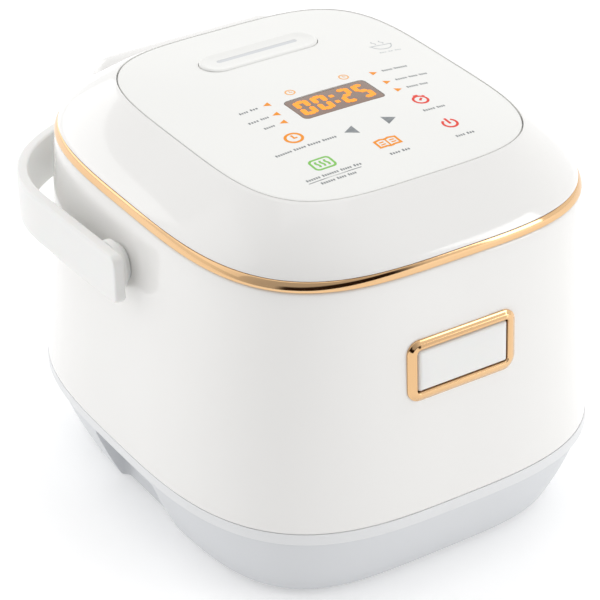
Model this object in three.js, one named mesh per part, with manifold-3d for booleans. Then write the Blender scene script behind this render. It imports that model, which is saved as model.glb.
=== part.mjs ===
// Compact multi-function rice cooker: a drafted plastic body on an inset base, a crowned
// hinged lid with a polished trim ring, a front latch button, a swinging carry handle, and
// the pot, heater, sensor and electrics inside. Millimetres, +Z up, front face towards -Y.
// The origin is under the centre of the whole object, on the surface that it stands on.

import * as THREE from 'three';
import { mergeVertices } from 'three/addons/utils/BufferGeometryUtils.js';
import Module from 'manifold-3d';

const wasm = await Module();
wasm.setup();

// ---------------------------------------------------------------- driving dimensions

const GAP = 0.35; // air between neighbouring pieces
const AROUND = 32; // steps round the body's outline
const ROUND = 24; // steps round a turned piece
const FOOT_STAND = 3; // how far the feet stand below the base
const FRONT_OF_COLLAR = 139.4; // foremost point, from the body's middle
const WALL = 2.6; // moulded wall

// The body's outline at a height: half width a, half depth b, squareness n, middle y.
const LEVEL = {
  baseFoot: { z: 0, a: 102.1, b: 118.4, n: 3.85 },
  baseBelly: { z: 22, a: 112.6, b: 129.0, n: 3.55 },
  baseTop: { z: 42.3, a: 120.4, b: 136.9, n: 3.25 },
  collarLow: { z: 42.7, a: 122.9, b: 139.4, n: 3.2 },
  collarHigh: { z: 48.7, a: 123.0, b: 138.8, n: 3.19 },
  shellLow: { z: 49.1, a: 123.0, b: 138.5, n: 3.18 },
  shellMiddle: { z: 109.3, a: 117.6, b: 133.0, n: 3.3 },
  shellHigh: { z: 176.5, a: 112.4, b: 129.2, n: 3.46 },
  shellRim: { z: 181.0, a: 111.2, b: 128.0, n: 3.46 },
  trimLow: { z: 181.6, a: 112.0, b: 128.9, n: 3.48 },
  trimHigh: { z: 186.5, a: 110.6, b: 127.9, n: 3.4 },
  panel: { z: 213.4, a: 82.9, b: 96.5, n: 4.04, y: -3.2 },
};
const LID_BULGE = 1.3; // power of the lid's slightly convex sides
const PANEL_CROWN = 5; // rise of the top panel at its middle

const POT = { y: -4, radius: 88, bottom: 60, rim: 179.6, wall: 2, flange: 93.2 };
const WELL = { radius: 91.2, wall: 1.2, bottom: 46, top: 173.6 };
const HEATER = { radius: 80, bottom: 51, top: 59.6, hole: 15 };
const HINGE = { y: 121, z: 184, barrel: 14, half: 60, pin: 2.5, earX: 30, earWidth: 4 };
const HANDLE = {
  pivotZ: 152.6, height: 26.5, half: 127.5, thick: 6, front: 17.5, corner: 4.5, cornerY: 60, depth: 90, n: 2.4,
};
const HANDLE_DROOP = THREE.MathUtils.degToRad(2.4); // the laid-back handle slopes down to the rear
const BACK_OF_HANDLE = (HANDLE.cornerY + HANDLE.depth) * Math.cos(HANDLE_DROOP)
  + (HANDLE.height / 2) * Math.sin(HANDLE_DROOP); // rearmost point, from the body's middle
const BUTTON = { z: 128.4, width: 54.4, height: 23.6, border: 5, corner: 7, proud: 2.6, travel: 3 };
const RECESS = { halfLength: 30, top: 36.5, depth: 22 };
const CUP = { half: 29, low: 94, high: 128, front: 106, back: 139 };
const INLET = { half: 18, low: 56, high: 84, front: 112, back: 141 };
const VENT = { y: 51.5, length: 70, width: 21, slot: 49, slotWidth: 3, bottom: 192 };
const DISPLAY = { x: 2, y: -16.5, width: 49, height: 22, corner: 3 };
const FOOT = { x: 70, y: 86, radius: 8.5 };
const SCREW = { x: 52, y: 98, head: 3.4, shank: 1.6 };

const FINISH = {
  glossWhite: { color: 0xf2f1ee, roughness: 0.18, metalness: 0 },
  satinWhite: { color: 0xe9e9e7, roughness: 0.42, metalness: 0 },
  baseGrey: { color: 0xcfd2d6, roughness: 0.5, metalness: 0 },
  collarGrey: { color: 0xe6e8e9, roughness: 0.4, metalness: 0 },
  roseGold: { color: 0xe0b070, roughness: 0.16, metalness: 1 },
  smoked: { color: 0x8b7266, roughness: 0.2, metalness: 0 },
  steel: { color: 0xb9bcc0, roughness: 0.32, metalness: 1 },
  aluminium: { color: 0xc6c8ca, roughness: 0.4, metalness: 1 },
  nonStick: { color: 0x3a3a3c, roughness: 0.5, metalness: 0.2 },
  brass: { color: 0xc9a45a, roughness: 0.3, metalness: 1 },
  rubber: { color: 0x8c8f92, roughness: 0.8, metalness: 0 },
  silicone: { color: 0xd8d8d4, roughness: 0.6, metalness: 0 },
  board: { color: 0x2e6b46, roughness: 0.55, metalness: 0 },
  darkPlastic: { color: 0x2b2c2e, roughness: 0.5, metalness: 0 },
  cup: { color: 0xdfe3e6, roughness: 0.25, metalness: 0 },
};

// ---------------------------------------------------------------- solids and booleans

// The closed mesh of a geometry, welded, without zero-area triangles, facing outwards.
function solid(geometry) {
  geometry.deleteAttribute('normal');
  geometry.deleteAttribute('uv');
  const welded = mergeVertices(geometry, 1e-4);
  const points = welded.attributes.position.array;
  const corner = (i) => new THREE.Vector3().fromArray(points, i * 3);
  const triangles = [];
  let volume = 0;
  for (let i = 0; i < welded.index.count; i += 3) {
    const [a, b, c] = [0, 1, 2].map((k) => welded.index.getX(i + k));
    if (a === b || b === c || c === a) continue;
    triangles.push(a, b, c);
    volume += corner(a).dot(corner(b).cross(corner(c)));
  }
  if (volume < 0) triangles.reverse();
  return new wasm.Manifold(new wasm.Mesh({
    numProp: 3,
    vertProperties: new Float32Array(points),
    triVerts: new Uint32Array(triangles),
  }));
}

// A named mesh of a solid, for the scene graph.
function piece(name, body, finish) {
  const mesh = body.getMesh();
  const geometry = new THREE.BufferGeometry();
  geometry.setAttribute('position', new THREE.BufferAttribute(mesh.vertProperties, 3));
  geometry.setIndex(new THREE.BufferAttribute(mesh.triVerts, 1));
  geometry.computeVertexNormals();
  const result = new THREE.Mesh(geometry, new THREE.MeshStandardMaterial(finish));
  result.name = name;
  return result;
}

const power = (value, exponent) => Math.sign(value) * Math.abs(value) ** exponent;

// A skin through superellipse outlines, in order. Rows that begin and end on the axis (a = 0)
// make a closed body; otherwise the last row joins the first, which makes a ring.
function loft(rows, steps = AROUND) {
  const onAxis = rows[0].a === 0;
  const path = onAxis ? rows : [...rows, rows[0]];
  const profile = path.map((row) => new THREE.Vector2(row.a, row.z));
  const geometry = new THREE.LatheGeometry(profile, steps);
  const position = geometry.attributes.position;
  for (let i = 0; i < position.count; i += 1) {
    const row = path[i % path.length];
    const step = Math.floor(i / path.length) % steps;
    const angle = ((step + 0.5) / steps) * 2 * Math.PI;
    const exponent = 2 / (row.n ?? 2);
    position.setXYZ(
      i,
      row.a * power(Math.cos(angle), exponent),
      (row.b ?? row.a) * power(Math.sin(angle), exponent) + (row.y ?? 0),
      row.z,
    );
  }
  return solid(geometry);
}

// A level moved inwards by a wall, and optionally to another height.
const inset = (level, by, z = level.z) => ({ ...level, a: level.a - by, b: level.b - by, z });

// The body's outline at any height, between two named levels.
function between(low, high, z) {
  const t = (z - low.z) / (high.z - low.z);
  const mix = (key, fallback = 0) => THREE.MathUtils.lerp(low[key] ?? fallback, high[key] ?? fallback, t);
  return { z, a: mix('a'), b: mix('b'), n: mix('n'), y: mix('y') };
}

// A turned piece about a vertical axis, from [radius, height] pairs; a bored one is a ring.
function turned(pairs, x = 0, y = 0, steps = ROUND) {
  const closed = pairs[0][0] === 0 ? pairs : [...pairs, pairs[0]];
  const profile = closed.map(([radius, height]) => new THREE.Vector2(radius, height));
  const geometry = new THREE.LatheGeometry(profile, steps);
  geometry.rotateX(Math.PI / 2);
  geometry.translate(x, y, 0);
  return solid(geometry);
}

// A round bar along X between two x values.
function barX(radius, fromX, toX, y, z, steps = 16) {
  const geometry = new THREE.CylinderGeometry(radius, radius, toX - fromX, steps);
  geometry.rotateZ(Math.PI / 2);
  geometry.translate((fromX + toX) / 2, y, z);
  return solid(geometry);
}

// A box between two corners.
function block([x0, y0, z0], [x1, y1, z1]) {
  const geometry = new THREE.BoxGeometry(x1 - x0, y1 - y0, z1 - z0);
  geometry.translate((x0 + x1) / 2, (y0 + y1) / 2, (z0 + z1) / 2);
  return solid(geometry);
}

// A rounded rectangle centred on the origin.
function roundedRectangle(width, height, radius) {
  const [w, h] = [width / 2, height / 2];
  const shape = new THREE.Shape();
  shape.moveTo(-w + radius, -h);
  shape.lineTo(w - radius, -h);
  shape.absarc(w - radius, -h + radius, radius, -Math.PI / 2, 0);
  shape.lineTo(w, h - radius);
  shape.absarc(w - radius, h - radius, radius, 0, Math.PI / 2);
  shape.lineTo(-w + radius, h);
  shape.absarc(-w + radius, h - radius, radius, Math.PI / 2, Math.PI);
  shape.lineTo(-w, -h + radius);
  shape.absarc(-w + radius, -h + radius, radius, Math.PI, 1.5 * Math.PI);
  return shape;
}

// A shape raised from one height to another, in plan.
function raised(shape, low, high, curveSegments = 3) {
  const geometry = new THREE.ExtrudeGeometry(shape, {
    depth: high - low, bevelEnabled: false, curveSegments,
  });
  geometry.translate(0, 0, low);
  return solid(geometry);
}

// A shape drawn in X and Z, pushed from one y to another.
function pushed(shape, front, back, curveSegments = 3) {
  const geometry = new THREE.ExtrudeGeometry(shape, {
    depth: back - front, bevelEnabled: false, curveSegments,
  });
  geometry.rotateX(Math.PI / 2);
  geometry.translate(0, back, 0);
  return solid(geometry);
}

// A coil spring about its own Z axis, as wire swept along a helix.
function coil(radius, wire, height, turns) {
  class Helix extends THREE.Curve {
    getPoint(t, target = new THREE.Vector3()) {
      const angle = t * turns * 2 * Math.PI;
      return target.set(radius * Math.cos(angle), radius * Math.sin(angle), wire + t * (height - 2 * wire));
    }
  }
  const section = new THREE.Shape(Array.from({ length: 5 }, (_, i) => (
    new THREE.Vector2(wire * Math.cos(i * 0.4 * Math.PI), wire * Math.sin(i * 0.4 * Math.PI))
  )));
  return solid(new THREE.ExtrudeGeometry(section, {
    steps: turns * 8, extrudePath: new Helix(), bevelEnabled: false,
  }));
}

const cutAll = (body, cutters) => cutters.reduce((rest, cutter) => rest.subtract(cutter), body);
const joinAll = (bodies) => bodies.reduce((rest, body) => rest.add(body));
const sides = (build) => [['left', -1], ['right', 1]].map(([name, side]) => build(name, side));

// ---------------------------------------------------------------- outlines shared by pieces

// The outside of the drafted body, grown by a margin, as one solid.
function bodySolid(margin = 0) {
  const rows = [LEVEL.shellLow, LEVEL.shellMiddle, LEVEL.shellHigh].map((level) => inset(level, -margin));
  return loft([{ a: 0, z: rows[0].z }, ...rows, { a: 0, z: rows[2].z }]);
}

// The lid's side between the trim and the panel, t from 0 to 1.
function lidSide(t, by = 0) {
  const { trimHigh, panel } = LEVEL;
  const spread = t ** LID_BULGE;
  const mix = (key, fallback = 0) => (
    THREE.MathUtils.lerp(trimHigh[key] ?? fallback, panel[key] ?? fallback, spread)
  );
  const z = THREE.MathUtils.lerp(trimHigh.z, panel.z, t);
  return { z, a: mix('a') - by, b: mix('b') - by, n: mix('n'), y: mix('y') };
}

// The room that the hinge barrel turns in.
const hingeRoom = () => (
  hingeHump(0.6).add(barX(4.6, -HINGE.half - 14, HINGE.half + 14, HINGE.y, HINGE.z, 16))
);

// The hinge barrel's outside, a capsule along the hinge axis, grown by a margin.
function hingeHump(margin = 0) {
  const hump = new THREE.CapsuleGeometry(HINGE.barrel + margin, 2 * (HINGE.half - HINGE.barrel), 4, 20);
  hump.rotateZ(Math.PI / 2);
  hump.translate(0, HINGE.y, HINGE.z);
  return solid(hump);
}

// ---------------------------------------------------------------- base

// Inset base tray with a hand recess cut into each side and cooling slots underneath.
function baseTray() {
  const { baseFoot, baseBelly, baseTop } = LEVEL;
  const floor = 3.2;
  const outside = loft([{ a: 0, z: 0 }, baseFoot, baseBelly, baseTop, { a: 0, z: baseTop.z }]);
  const room = loft([
    { a: 0, z: floor }, inset(baseFoot, WALL, floor), inset(baseBelly, WALL),
    inset(baseTop, WALL, baseTop.z + 1), { a: 0, z: baseTop.z + 1 },
  ]);
  const handRoom = (side, by) => {
    const inner = LEVEL.baseTop.a - RECESS.depth - by;
    const [near, far] = side > 0 ? [inner, 140] : [-140, -inner];
    return block([near, -RECESS.halfLength - by, -5], [far, RECESS.halfLength + by, RECESS.top + by]);
  };
  const slots = [-1, 1].flatMap((side) => Array.from({ length: 6 }, (_, i) => (
    block([side * 26 - 16, -40 + i * 14, -1], [side * 26 + 16, -36.5 + i * 14, floor + 1])
  )));
  const corners = [-1, 1].flatMap((sx) => [-1, 1].map((sy) => [sx, sy]));
  const footSeats = corners.map(([sx, sy]) => (
    turned([[0, -1], [FOOT.radius + GAP, -1], [FOOT.radius + GAP, 1.6], [0, 1.6]], sx * FOOT.x, sy * FOOT.y, 16)
  ));
  const screwHoles = corners.map(([sx, sy]) => (
    turned([[0, -1], [SCREW.head + 0.5, -1], [SCREW.head + 0.5, 1.8], [SCREW.shank + 0.4, 1.8],
      [SCREW.shank + 0.4, 6], [0, 6]], sx * SCREW.x, sy * SCREW.y, 12)
  ));
  const carved = outside.subtract(handRoom(-1, 0)).subtract(handRoom(1, 0));
  const hollow = room.subtract(handRoom(-1, WALL)).subtract(handRoom(1, WALL));
  return piece('base_tray', cutAll(carved.subtract(hollow), [...slots, ...footSeats, ...screwHoles]), FINISH.baseGrey);
}

// Four rubber feet, each held in a round seat in the tray.
function feet() {
  const places = [['front_left', -1, -1], ['front_right', 1, -1], ['rear_left', -1, 1], ['rear_right', 1, 1]];
  return places.map(([name, sx, sy]) => {
    const { radius } = FOOT;
    const pad = turned([[0, -FOOT_STAND], [radius - 1, -FOOT_STAND], [radius, 1 - FOOT_STAND],
      [radius, 1.2], [0, 1.2]], sx * FOOT.x, sy * FOOT.y, 16);
    return piece(`foot_${name}`, pad, FINISH.rubber);
  });
}

// Four screws that hold the tray from underneath.
function baseScrews() {
  const places = [['front_left', -1, -1], ['front_right', 1, -1], ['rear_left', -1, 1], ['rear_right', 1, 1]];
  return places.map(([name, sx, sy]) => {
    const { head, shank } = SCREW;
    const screw = turned([[0, 0.3], [head, 0.3], [head, 1.5], [shank, 1.5], [shank, 14], [0, 15]],
      sx * SCREW.x, sy * SCREW.y, 12);
    return piece(`base_screw_${name}`, screw, FINISH.steel);
  });
}

// Thin lighter band between the tray and the body.
function baseCollar() {
  const { collarLow, collarHigh } = LEVEL;
  const inner = 3.4;
  return piece('base_collar', loft([
    collarLow, collarHigh, inset(collarHigh, inner), inset(collarLow, inner),
  ]), FINISH.collarGrey);
}

// ---------------------------------------------------------------- body

// The body's side wall, with openings for the latch, handle pivots, condensate cup and inlet.
function outerShell() {
  const { shellLow, shellMiddle, shellHigh, shellRim } = LEVEL;
  const rows = [shellLow, shellMiddle, shellHigh, shellRim];
  const wall = loft([...rows, ...rows.map((row) => inset(row, WALL)).reverse()]);
  const pivots = sides((_, side) => (
    barX(9 + GAP, Math.min(side * 100, side * 125), Math.max(side * 100, side * 125), 0, HANDLE.pivotZ, 20)
  ));
  const cup = block([-CUP.half - 0.6, 110, CUP.low - 0.6], [CUP.half + 0.6, 150, CUP.high + 0.6]);
  const inlet = block([-INLET.half - GAP, 110, INLET.low - GAP], [INLET.half + GAP, 150, INLET.high + GAP]);
  return piece('outer_shell', cutAll(wall, [
    latchOpening(), ...pivots, cup, inlet, hingeRoom(),
  ]), FINISH.glossWhite);
}

// Deck round the pot: it closes the top of the body and carries the pot's rim.
function upperFrame() {
  const outer = inset(LEVEL.shellRim, WALL + GAP);
  const seat = (a, z) => ({ a, z, y: POT.y });
  const deck = loft([
    { ...outer, z: 174 }, { ...outer, z: 179 }, seat(94, 179), seat(94, 177.4), seat(91.7, 177.4), seat(91.7, 174),
  ]);
  const leverSlot = block([-16, -119, 170], [16, -101.5, 182]);
  const drain = block([-8, 98, 170], [8, 103, 182]);
  return piece('upper_frame', cutAll(deck, [leverSlot, drain, hingeRoom()]), FINISH.satinWhite);
}

// Steel can round the pot, open at the bottom for the heater.
function potWell() {
  const { radius, wall, bottom, top } = WELL;
  return piece('pot_well', turned([
    [radius, bottom + wall], [radius, top], [radius + 4, top], [radius + 4, top - wall],
    [radius + wall, top - wall], [radius + wall, bottom], [HEATER.radius + 2.5, bottom],
    [HEATER.radius + 2.5, bottom + wall],
  ], 0, POT.y, 28), FINISH.steel);
}

// Removable pot: a rounded cup with a flat rim.
function innerPot() {
  const { radius, bottom, rim, wall, flange } = POT;
  const bend = 22;
  const arc = (r, sign) => Array.from({ length: 4 }, (_, i) => {
    const angle = (sign > 0 ? i : 3 - i) * (Math.PI / 6);
    return [radius - bend + r * Math.sin(angle), bottom + bend - r * Math.cos(angle)];
  });
  return piece('inner_pot', turned([
    [0, bottom], ...arc(bend, 1), [radius, rim - 1.8], [flange, rim - 1.8], [flange, rim],
    [radius - wall, rim], ...arc(bend - wall, -1), [0, bottom + wall],
  ], 0, POT.y, 32), FINISH.nonStick);
}

// ---------------------------------------------------------------- heater and sensor

// Cast plate that the pot stands on, with a hole for the sensor.
function heatingPlate() {
  const { radius, bottom, top, hole } = HEATER;
  return piece('heating_plate', turned([
    [hole, bottom], [radius - 4, bottom], [radius, bottom + 3], [radius, top - 3], [radius - 3, top], [hole, top],
  ], 0, POT.y, 28), FINISH.aluminium);
}

// Tubular element under the plate.
function heatingElement() {
  const ring = new THREE.TorusGeometry(54, 3.4, 6, 24);
  ring.translate(0, POT.y, HEATER.bottom - GAP - 3.4);
  return piece('heating_element', solid(ring), FINISH.steel);
}

// Spring-loaded cup that feels the pot's bottom.
function thermalSensor() {
  return piece('thermal_sensor', turned([
    [0, 50], [9.5, 50], [9.5, 47.4], [11.5, 47.4], [12, 58.6], [11, POT.bottom - GAP], [0, POT.bottom - GAP],
  ], 0, POT.y, 20), FINISH.aluminium);
}

// Coil that lifts the sensor.
function sensorSpring() {
  const spring = piece('sensor_spring', coil(6, 0.6, 15.4, 5), FINISH.steel);
  spring.position.set(0, POT.y, 34.2);
  return spring;
}

// Strap across the bottom of the well that carries the spring.
function sensorBracket() {
  const strap = joinAll([
    block([-47, POT.y - 9, 31.4], [47, POT.y + 9, 33.8]),
    block([-47, POT.y - 9, 31.4], [-44.6, POT.y + 9, HEATER.bottom - GAP]),
    block([44.6, POT.y - 9, 31.4], [47, POT.y + 9, HEATER.bottom - GAP]),
  ]);
  return piece('sensor_bracket', strap, FINISH.steel);
}

// Thermal fuse clipped to the strap's underside.
function thermalFuse() {
  const fuse = barX(2.6, -12, 12, POT.y, 31.4 - GAP - 2.6, 12);
  return piece('thermal_fuse', fuse, FINISH.brass);
}

// Power board with its relay and transformer, behind the middle of the base.
function electrics() {
  const top = 11.6;
  return [
    piece('main_board', block([-48, 52, top - 1.6], [48, 96, top]), FINISH.board),
    piece('power_relay', block([-40, 58, top + GAP], [-12, 74, top + 16]), FINISH.darkPlastic),
    piece('transformer', block([4, 56, top + GAP], [38, 88, top + 24]), FINISH.darkPlastic),
  ];
}

// ---------------------------------------------------------------- inlet and condensate cup

// Appliance inlet: a deep socket whose rim stands just proud of the body's back.
function powerInlet() {
  const { half, low, high, front, back } = INLET;
  const middle = (low + high) / 2;
  const housing = block([-half, front, low], [half, back, high]);
  const socket = block([-12.5, back - 18, middle - 8.5], [12.5, back + 1, middle + 8.5]);
  const pinHoles = [-7, 0, 7].map((x, i) => (
    block([x - 1.4, front - 1, middle - 2.6 + (i % 2) * 3], [x + 1.4, back, middle + 2.6 + (i % 2) * 3])
  ));
  return piece('power_inlet', cutAll(housing, [socket, ...pinHoles]), FINISH.darkPlastic);
}

// The inlet's three blades; the earth blade sits in the middle, a little higher.
function inletPins() {
  const { low, high, front, back } = INLET;
  const middle = (low + high) / 2;
  return [['live', -7, 0], ['earth', 0, 3], ['neutral', 7, 0]].map(([name, x, lift]) => (
    piece(`inlet_pin_${name}`, block(
      [x - 1, front - 5, middle - 2.1 + lift], [x + 1, back - 3, middle + 2.1 + lift],
    ), FINISH.brass)
  ));
}

// Shelf inside the body's back that the condensate cup slides on.
function cupHolder() {
  const [half, low] = [CUP.half + 0.8, CUP.low - 0.8];
  const shelf = joinAll([
    block([-half - 1.6, CUP.front - 3, low - 1.6], [half + 1.6, 127, low]),
    block([-half - 1.6, CUP.front - 3, low - 1.6], [-half, 127, CUP.high]),
    block([half, CUP.front - 3, low - 1.6], [half + 1.6, 127, CUP.high]),
    block([-half - 1.6, CUP.front - 3, low - 1.6], [half + 1.6, CUP.front - 1.2, CUP.high]),
  ]);
  return piece('cup_holder', shelf, FINISH.satinWhite);
}

// Condensate cup: a small open-topped drawer, pulled out backwards.
function condensateCup() {
  const { half, low, high, front, back } = CUP;
  const outside = roundedRectangle(2 * half, back - front, 6);
  const inside = roundedRectangle(2 * half - 4, back - front - 4, 4.5);
  const cup = raised(outside, low, high).subtract(raised(inside, low + 2, high + 1));
  return piece('condensate_cup', cup.translate([0, (front + back) / 2, 0]), FINISH.cup);
}

// ---------------------------------------------------------------- latch

// The front face leans back by its draft; the latch pieces are built square and tilted to it.
const LATCH_FACE = between(LEVEL.shellMiddle, LEVEL.shellHigh, BUTTON.z);
const LATCH_TILT = Math.atan2(
  LEVEL.shellMiddle.b - LEVEL.shellHigh.b, LEVEL.shellHigh.z - LEVEL.shellMiddle.z,
);

// Places a solid, built with the face at y = 0 and outwards towards -Y, on the front face.
function onFrontFace(body) {
  return body.rotate([-THREE.MathUtils.radToDeg(LATCH_TILT), 0, 0]).translate([0, -LATCH_FACE.b, BUTTON.z]);
}

const latchFrame = (grow) => (
  roundedRectangle(BUTTON.width + 2 * grow, BUTTON.height + 2 * grow, BUTTON.corner - BUTTON.border + grow)
);

// The cut that the bezel's sleeve passes through.
function latchOpening() {
  return onFrontFace(pushed(latchFrame(3 + GAP), -10, 8));
}

// Polished frame round the button: a proud flange and a sleeve through the wall.
function buttonBezel() {
  const { border, proud } = BUTTON;
  const flange = pushed(latchFrame(border), -proud, -GAP);
  const sleeve = pushed(latchFrame(3), -proud, 11);
  const hole = pushed(latchFrame(0), -proud - 1, 12);
  return piece('button_bezel', onFrontFace(flange.add(sleeve).subtract(hole)), FINISH.roseGold);
}

// Button with bevelled edges and a stem that pushes the lever.
function latchButton() {
  const { width, height, corner, border } = BUTTON;
  const face = new THREE.ExtrudeGeometry(
    roundedRectangle(width - 2 * 0.5 - 3, height - 2 * 0.5 - 3, corner - border),
    { depth: 6.6, bevelThickness: 1.5, bevelSize: 1.5, bevelSegments: 1, curveSegments: 4 },
  );
  face.rotateX(Math.PI / 2);
  face.translate(0, 5.3, 0);
  const stem = pushed(roundedRectangle(7, 7, 1), 6, 17, 2);
  return piece('latch_button', onFrontFace(solid(face).add(stem)), FINISH.satinWhite);
}

// Coil that pushes the button back out.
function latchSpring() {
  const wound = coil(6.2, 0.6, 7.2, 4).rotate([-90, 0, 0]).translate([0, 7.4, 0]);
  return piece('latch_spring', onFrontFace(wound), FINISH.steel);
}

// Plate that the spring bears on, with two cheeks that carry the lever's pin.
function latchCarrier() {
  const plate = pushed(roundedRectangle(74, 34, 3), 15, 16.6);
  const hole = pushed(roundedRectangle(8, 8, 1), 10, 20, 2);
  const cheeks = [-1, 1].map((side) => block([side * 18 - 1.5, 15, 12], [side * 18 + 1.5, 29, 27]));
  const bore = barX(2.4, -25, 25, 23.5, 22, 16);
  return piece('latch_carrier', onFrontFace(joinAll([plate.subtract(hole), ...cheeks]).subtract(bore)), FINISH.darkPlastic);
}

// Pin that the lever rocks on.
function latchPin() {
  return piece('latch_pin', onFrontFace(barX(2, -21, 21, 23.5, 22, 16)), FINISH.steel);
}

// Rocking lever: pushed at its foot by the stem, with a hook at its top.
function latchLever() {
  const lever = joinAll([
    block([-9, 17.6, -9], [9, 20.4, 22]),
    barX(5, -15.5, 15.5, 23.5, 22, 18),
    block([-5, 20.2, 22], [5, 23, 53]),
    block([-5, 20.2, 50.6], [5, 24, 53]),
  ]).subtract(barX(2 + GAP, -20, 20, 23.5, 22, 16));
  return piece('latch_lever', onFrontFace(lever), FINISH.darkPlastic);
}

// ---------------------------------------------------------------- hinge

// Steel bracket under the barrel with two ears that hold the pin.
function hingeBracket() {
  const { y, z, earX, earWidth, pin } = HINGE;
  const plate = block([-44, 101, 162], [44, 124, 164.4]);
  const flange = block([-44, 121.6, 142], [44, 124, 164.4]);
  const ears = [-1, 1].map((side) => {
    const [from, to] = [side * earX - earWidth / 2, side * earX + earWidth / 2];
    return block([from, y - 4, 162], [to, y + 4, z]).add(barX(4, from, to, y, z));
  });
  const bore = barX(pin + 0.02, -50, 50, y, z);
  return piece('hinge_bracket', joinAll([plate, flange, ...ears]).subtract(bore), FINISH.steel);
}

const hingePin = () => (
  piece('hinge_pin', barX(HINGE.pin - GAP, -HINGE.half + 12, HINGE.half - 12, HINGE.y, HINGE.z), FINISH.steel)
);

// Torsion spring wound on the pin.
function lidSpring() {
  const wound = coil(5.6, 0.9, 30, 7).rotate([0, 90, 0]).translate([-15, HINGE.y, HINGE.z]);
  return piece('lid_spring', wound, FINISH.steel);
}

// The lid's hinge barrel: a long rounded hump, slotted below and behind for the ears.
function hingeCover() {
  const { y, z, half, earX, earWidth, pin } = HINGE;
  const quarter = (from, to, reach) => block([from, y - reach, z - 20], [to, y + 20, z + reach]);
  const slots = [-1, 1].map((side) => quarter(side * earX - earWidth / 2 - 0.8, side * earX + earWidth / 2 + 0.8, 5.2));
  const pocket = quarter(-18, 18, 8);
  const bore = barX(pin + 0.1, -half + 11, half - 11, y, z);
  return piece('hinge_cover', cutAll(hingeHump(), [...slots, pocket, bore]), FINISH.glossWhite);
}

// ---------------------------------------------------------------- lid

// The lid's sloping side, with a ledge round its top for the panel.
function lidShell() {
  const steps = [0, 0.2, 0.45, 0.72, 1];
  const { panel } = LEVEL;
  const outer = steps.map((t) => lidSide(t));
  outer[0].z += GAP;
  const inner = [0.72, 0.45, 0].map((t) => lidSide(t, WALL));
  inner[2].z += GAP;
  const ledge = [inset(panel, 0.5), inset(panel, 0.5, 210.2), inset(panel, 10, 210.2), inset(panel, 10, 208)];
  return piece('lid_shell', loft([...outer, ...ledge, ...inner]).subtract(hingeHump(GAP)), FINISH.glossWhite);
}

// Polished ring round the lid's lower edge.
function trimRing() {
  const { trimLow, trimHigh } = LEVEL;
  const waist = between(trimLow, trimHigh, (trimLow.z + trimHigh.z) / 2);
  const ring = loft([
    trimLow, inset(waist, -0.3), trimHigh, inset(trimHigh, 3), inset(waist, 3), inset(trimLow, 3),
  ]);
  return piece('trim_ring', ring.subtract(hingeHump(GAP)), FINISH.roseGold);
}

// A crowned row of the top panel: share of the outline, and depth under the crown.
function crownRow(share, depth) {
  const { panel } = LEVEL;
  const rim = inset(panel, 0.9);
  return {
    a: rim.a * share, b: rim.b * share, n: rim.n, y: rim.y, z: panel.z + PANEL_CROWN * (1 - share ** 2) - depth,
  };
}

// Crowned control panel with openings for the display window and the steam vent.
function topPanel() {
  const thick = 2.6;
  const shares = [0, 0.4, 0.72, 1];
  const skin = loft([
    ...shares.map((share) => crownRow(share, 0)),
    ...shares.map((share) => crownRow(share, thick)).reverse(),
  ]);
  const window = raised(roundedRectangle(DISPLAY.width, DISPLAY.height, DISPLAY.corner), 190, 230)
    .translate([DISPLAY.x, DISPLAY.y, 0]);
  return piece('top_panel', cutAll(skin, [window, ventPill(0, 190, 230)]), FINISH.satinWhite);
}

// Smoked window over the display, following the panel's crown.
function displayWindow() {
  const shares = [0, 0.3, 0.55];
  const skin = loft([
    ...shares.map((share) => crownRow(share, 0.1)),
    ...shares.map((share) => crownRow(share, 1.8)).reverse(),
  ]);
  const outline = raised(roundedRectangle(
    DISPLAY.width - 2 * GAP, DISPLAY.height - 2 * GAP, DISPLAY.corner - GAP,
  ), 190, 230).translate([DISPLAY.x, DISPLAY.y, 0]);
  return piece('display_window', skin.intersect(outline), FINISH.smoked);
}

// Control board and the display block under the window.
function controlBoard() {
  return [
    piece('control_board', block([-62, -78, 203], [62, 30, 204.6]), FINISH.board),
    piece('display_module', block(
      [DISPLAY.x - 22, DISPLAY.y - 9, 204.6 + GAP], [DISPLAY.x + 22, DISPLAY.y + 9, 214],
    ), FINISH.darkPlastic),
  ];
}

// A pill outline at the vent's place, shrunk by a margin.
function ventPill(by, low, high) {
  const [length, width] = [VENT.length - 2 * by, VENT.width - 2 * by];
  return raised(roundedRectangle(length, width, width / 2 - 0.05), low, high, 6).translate([0, VENT.y, 0]);
}

// Steam vent cap: a hollow pill that lifts out, with one long slot in its top.
function steamVentCap() {
  const top = LEVEL.panel.z + PANEL_CROWN - 0.6;
  const body = ventPill(0.5, VENT.bottom + GAP, top);
  const room = ventPill(2.5, VENT.bottom, top - 2.4);
  const slot = raised(roundedRectangle(VENT.slot, VENT.slotWidth, 1.4), 190, 230, 3).translate([0, VENT.y + 1.5, 0]);
  return piece('steam_vent_cap', cutAll(body, [room, slot]), FINISH.satinWhite);
}

// Pill-shaped pocket in the lid that the vent cap drops into, drained at its middle.
function ventHousing() {
  const body = ventPill(-2, VENT.bottom - 2, 209.6);
  const room = ventPill(0, VENT.bottom, 215);
  const drain = turned([[0, 180], [7, 180], [7, 200], [0, 200]], 0, VENT.y, 20);
  return piece('vent_housing', cutAll(body, [room, drain]), FINISH.satinWhite);
}

// Silicone ring between the pocket and the steam valve.
function ventSeal() {
  return piece('vent_seal', turned([
    [7, 184.8], [11, 184.8], [11, VENT.bottom - 2 - GAP], [7, VENT.bottom - 2 - GAP],
  ], 0, VENT.y, 20), FINISH.silicone);
}

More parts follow.
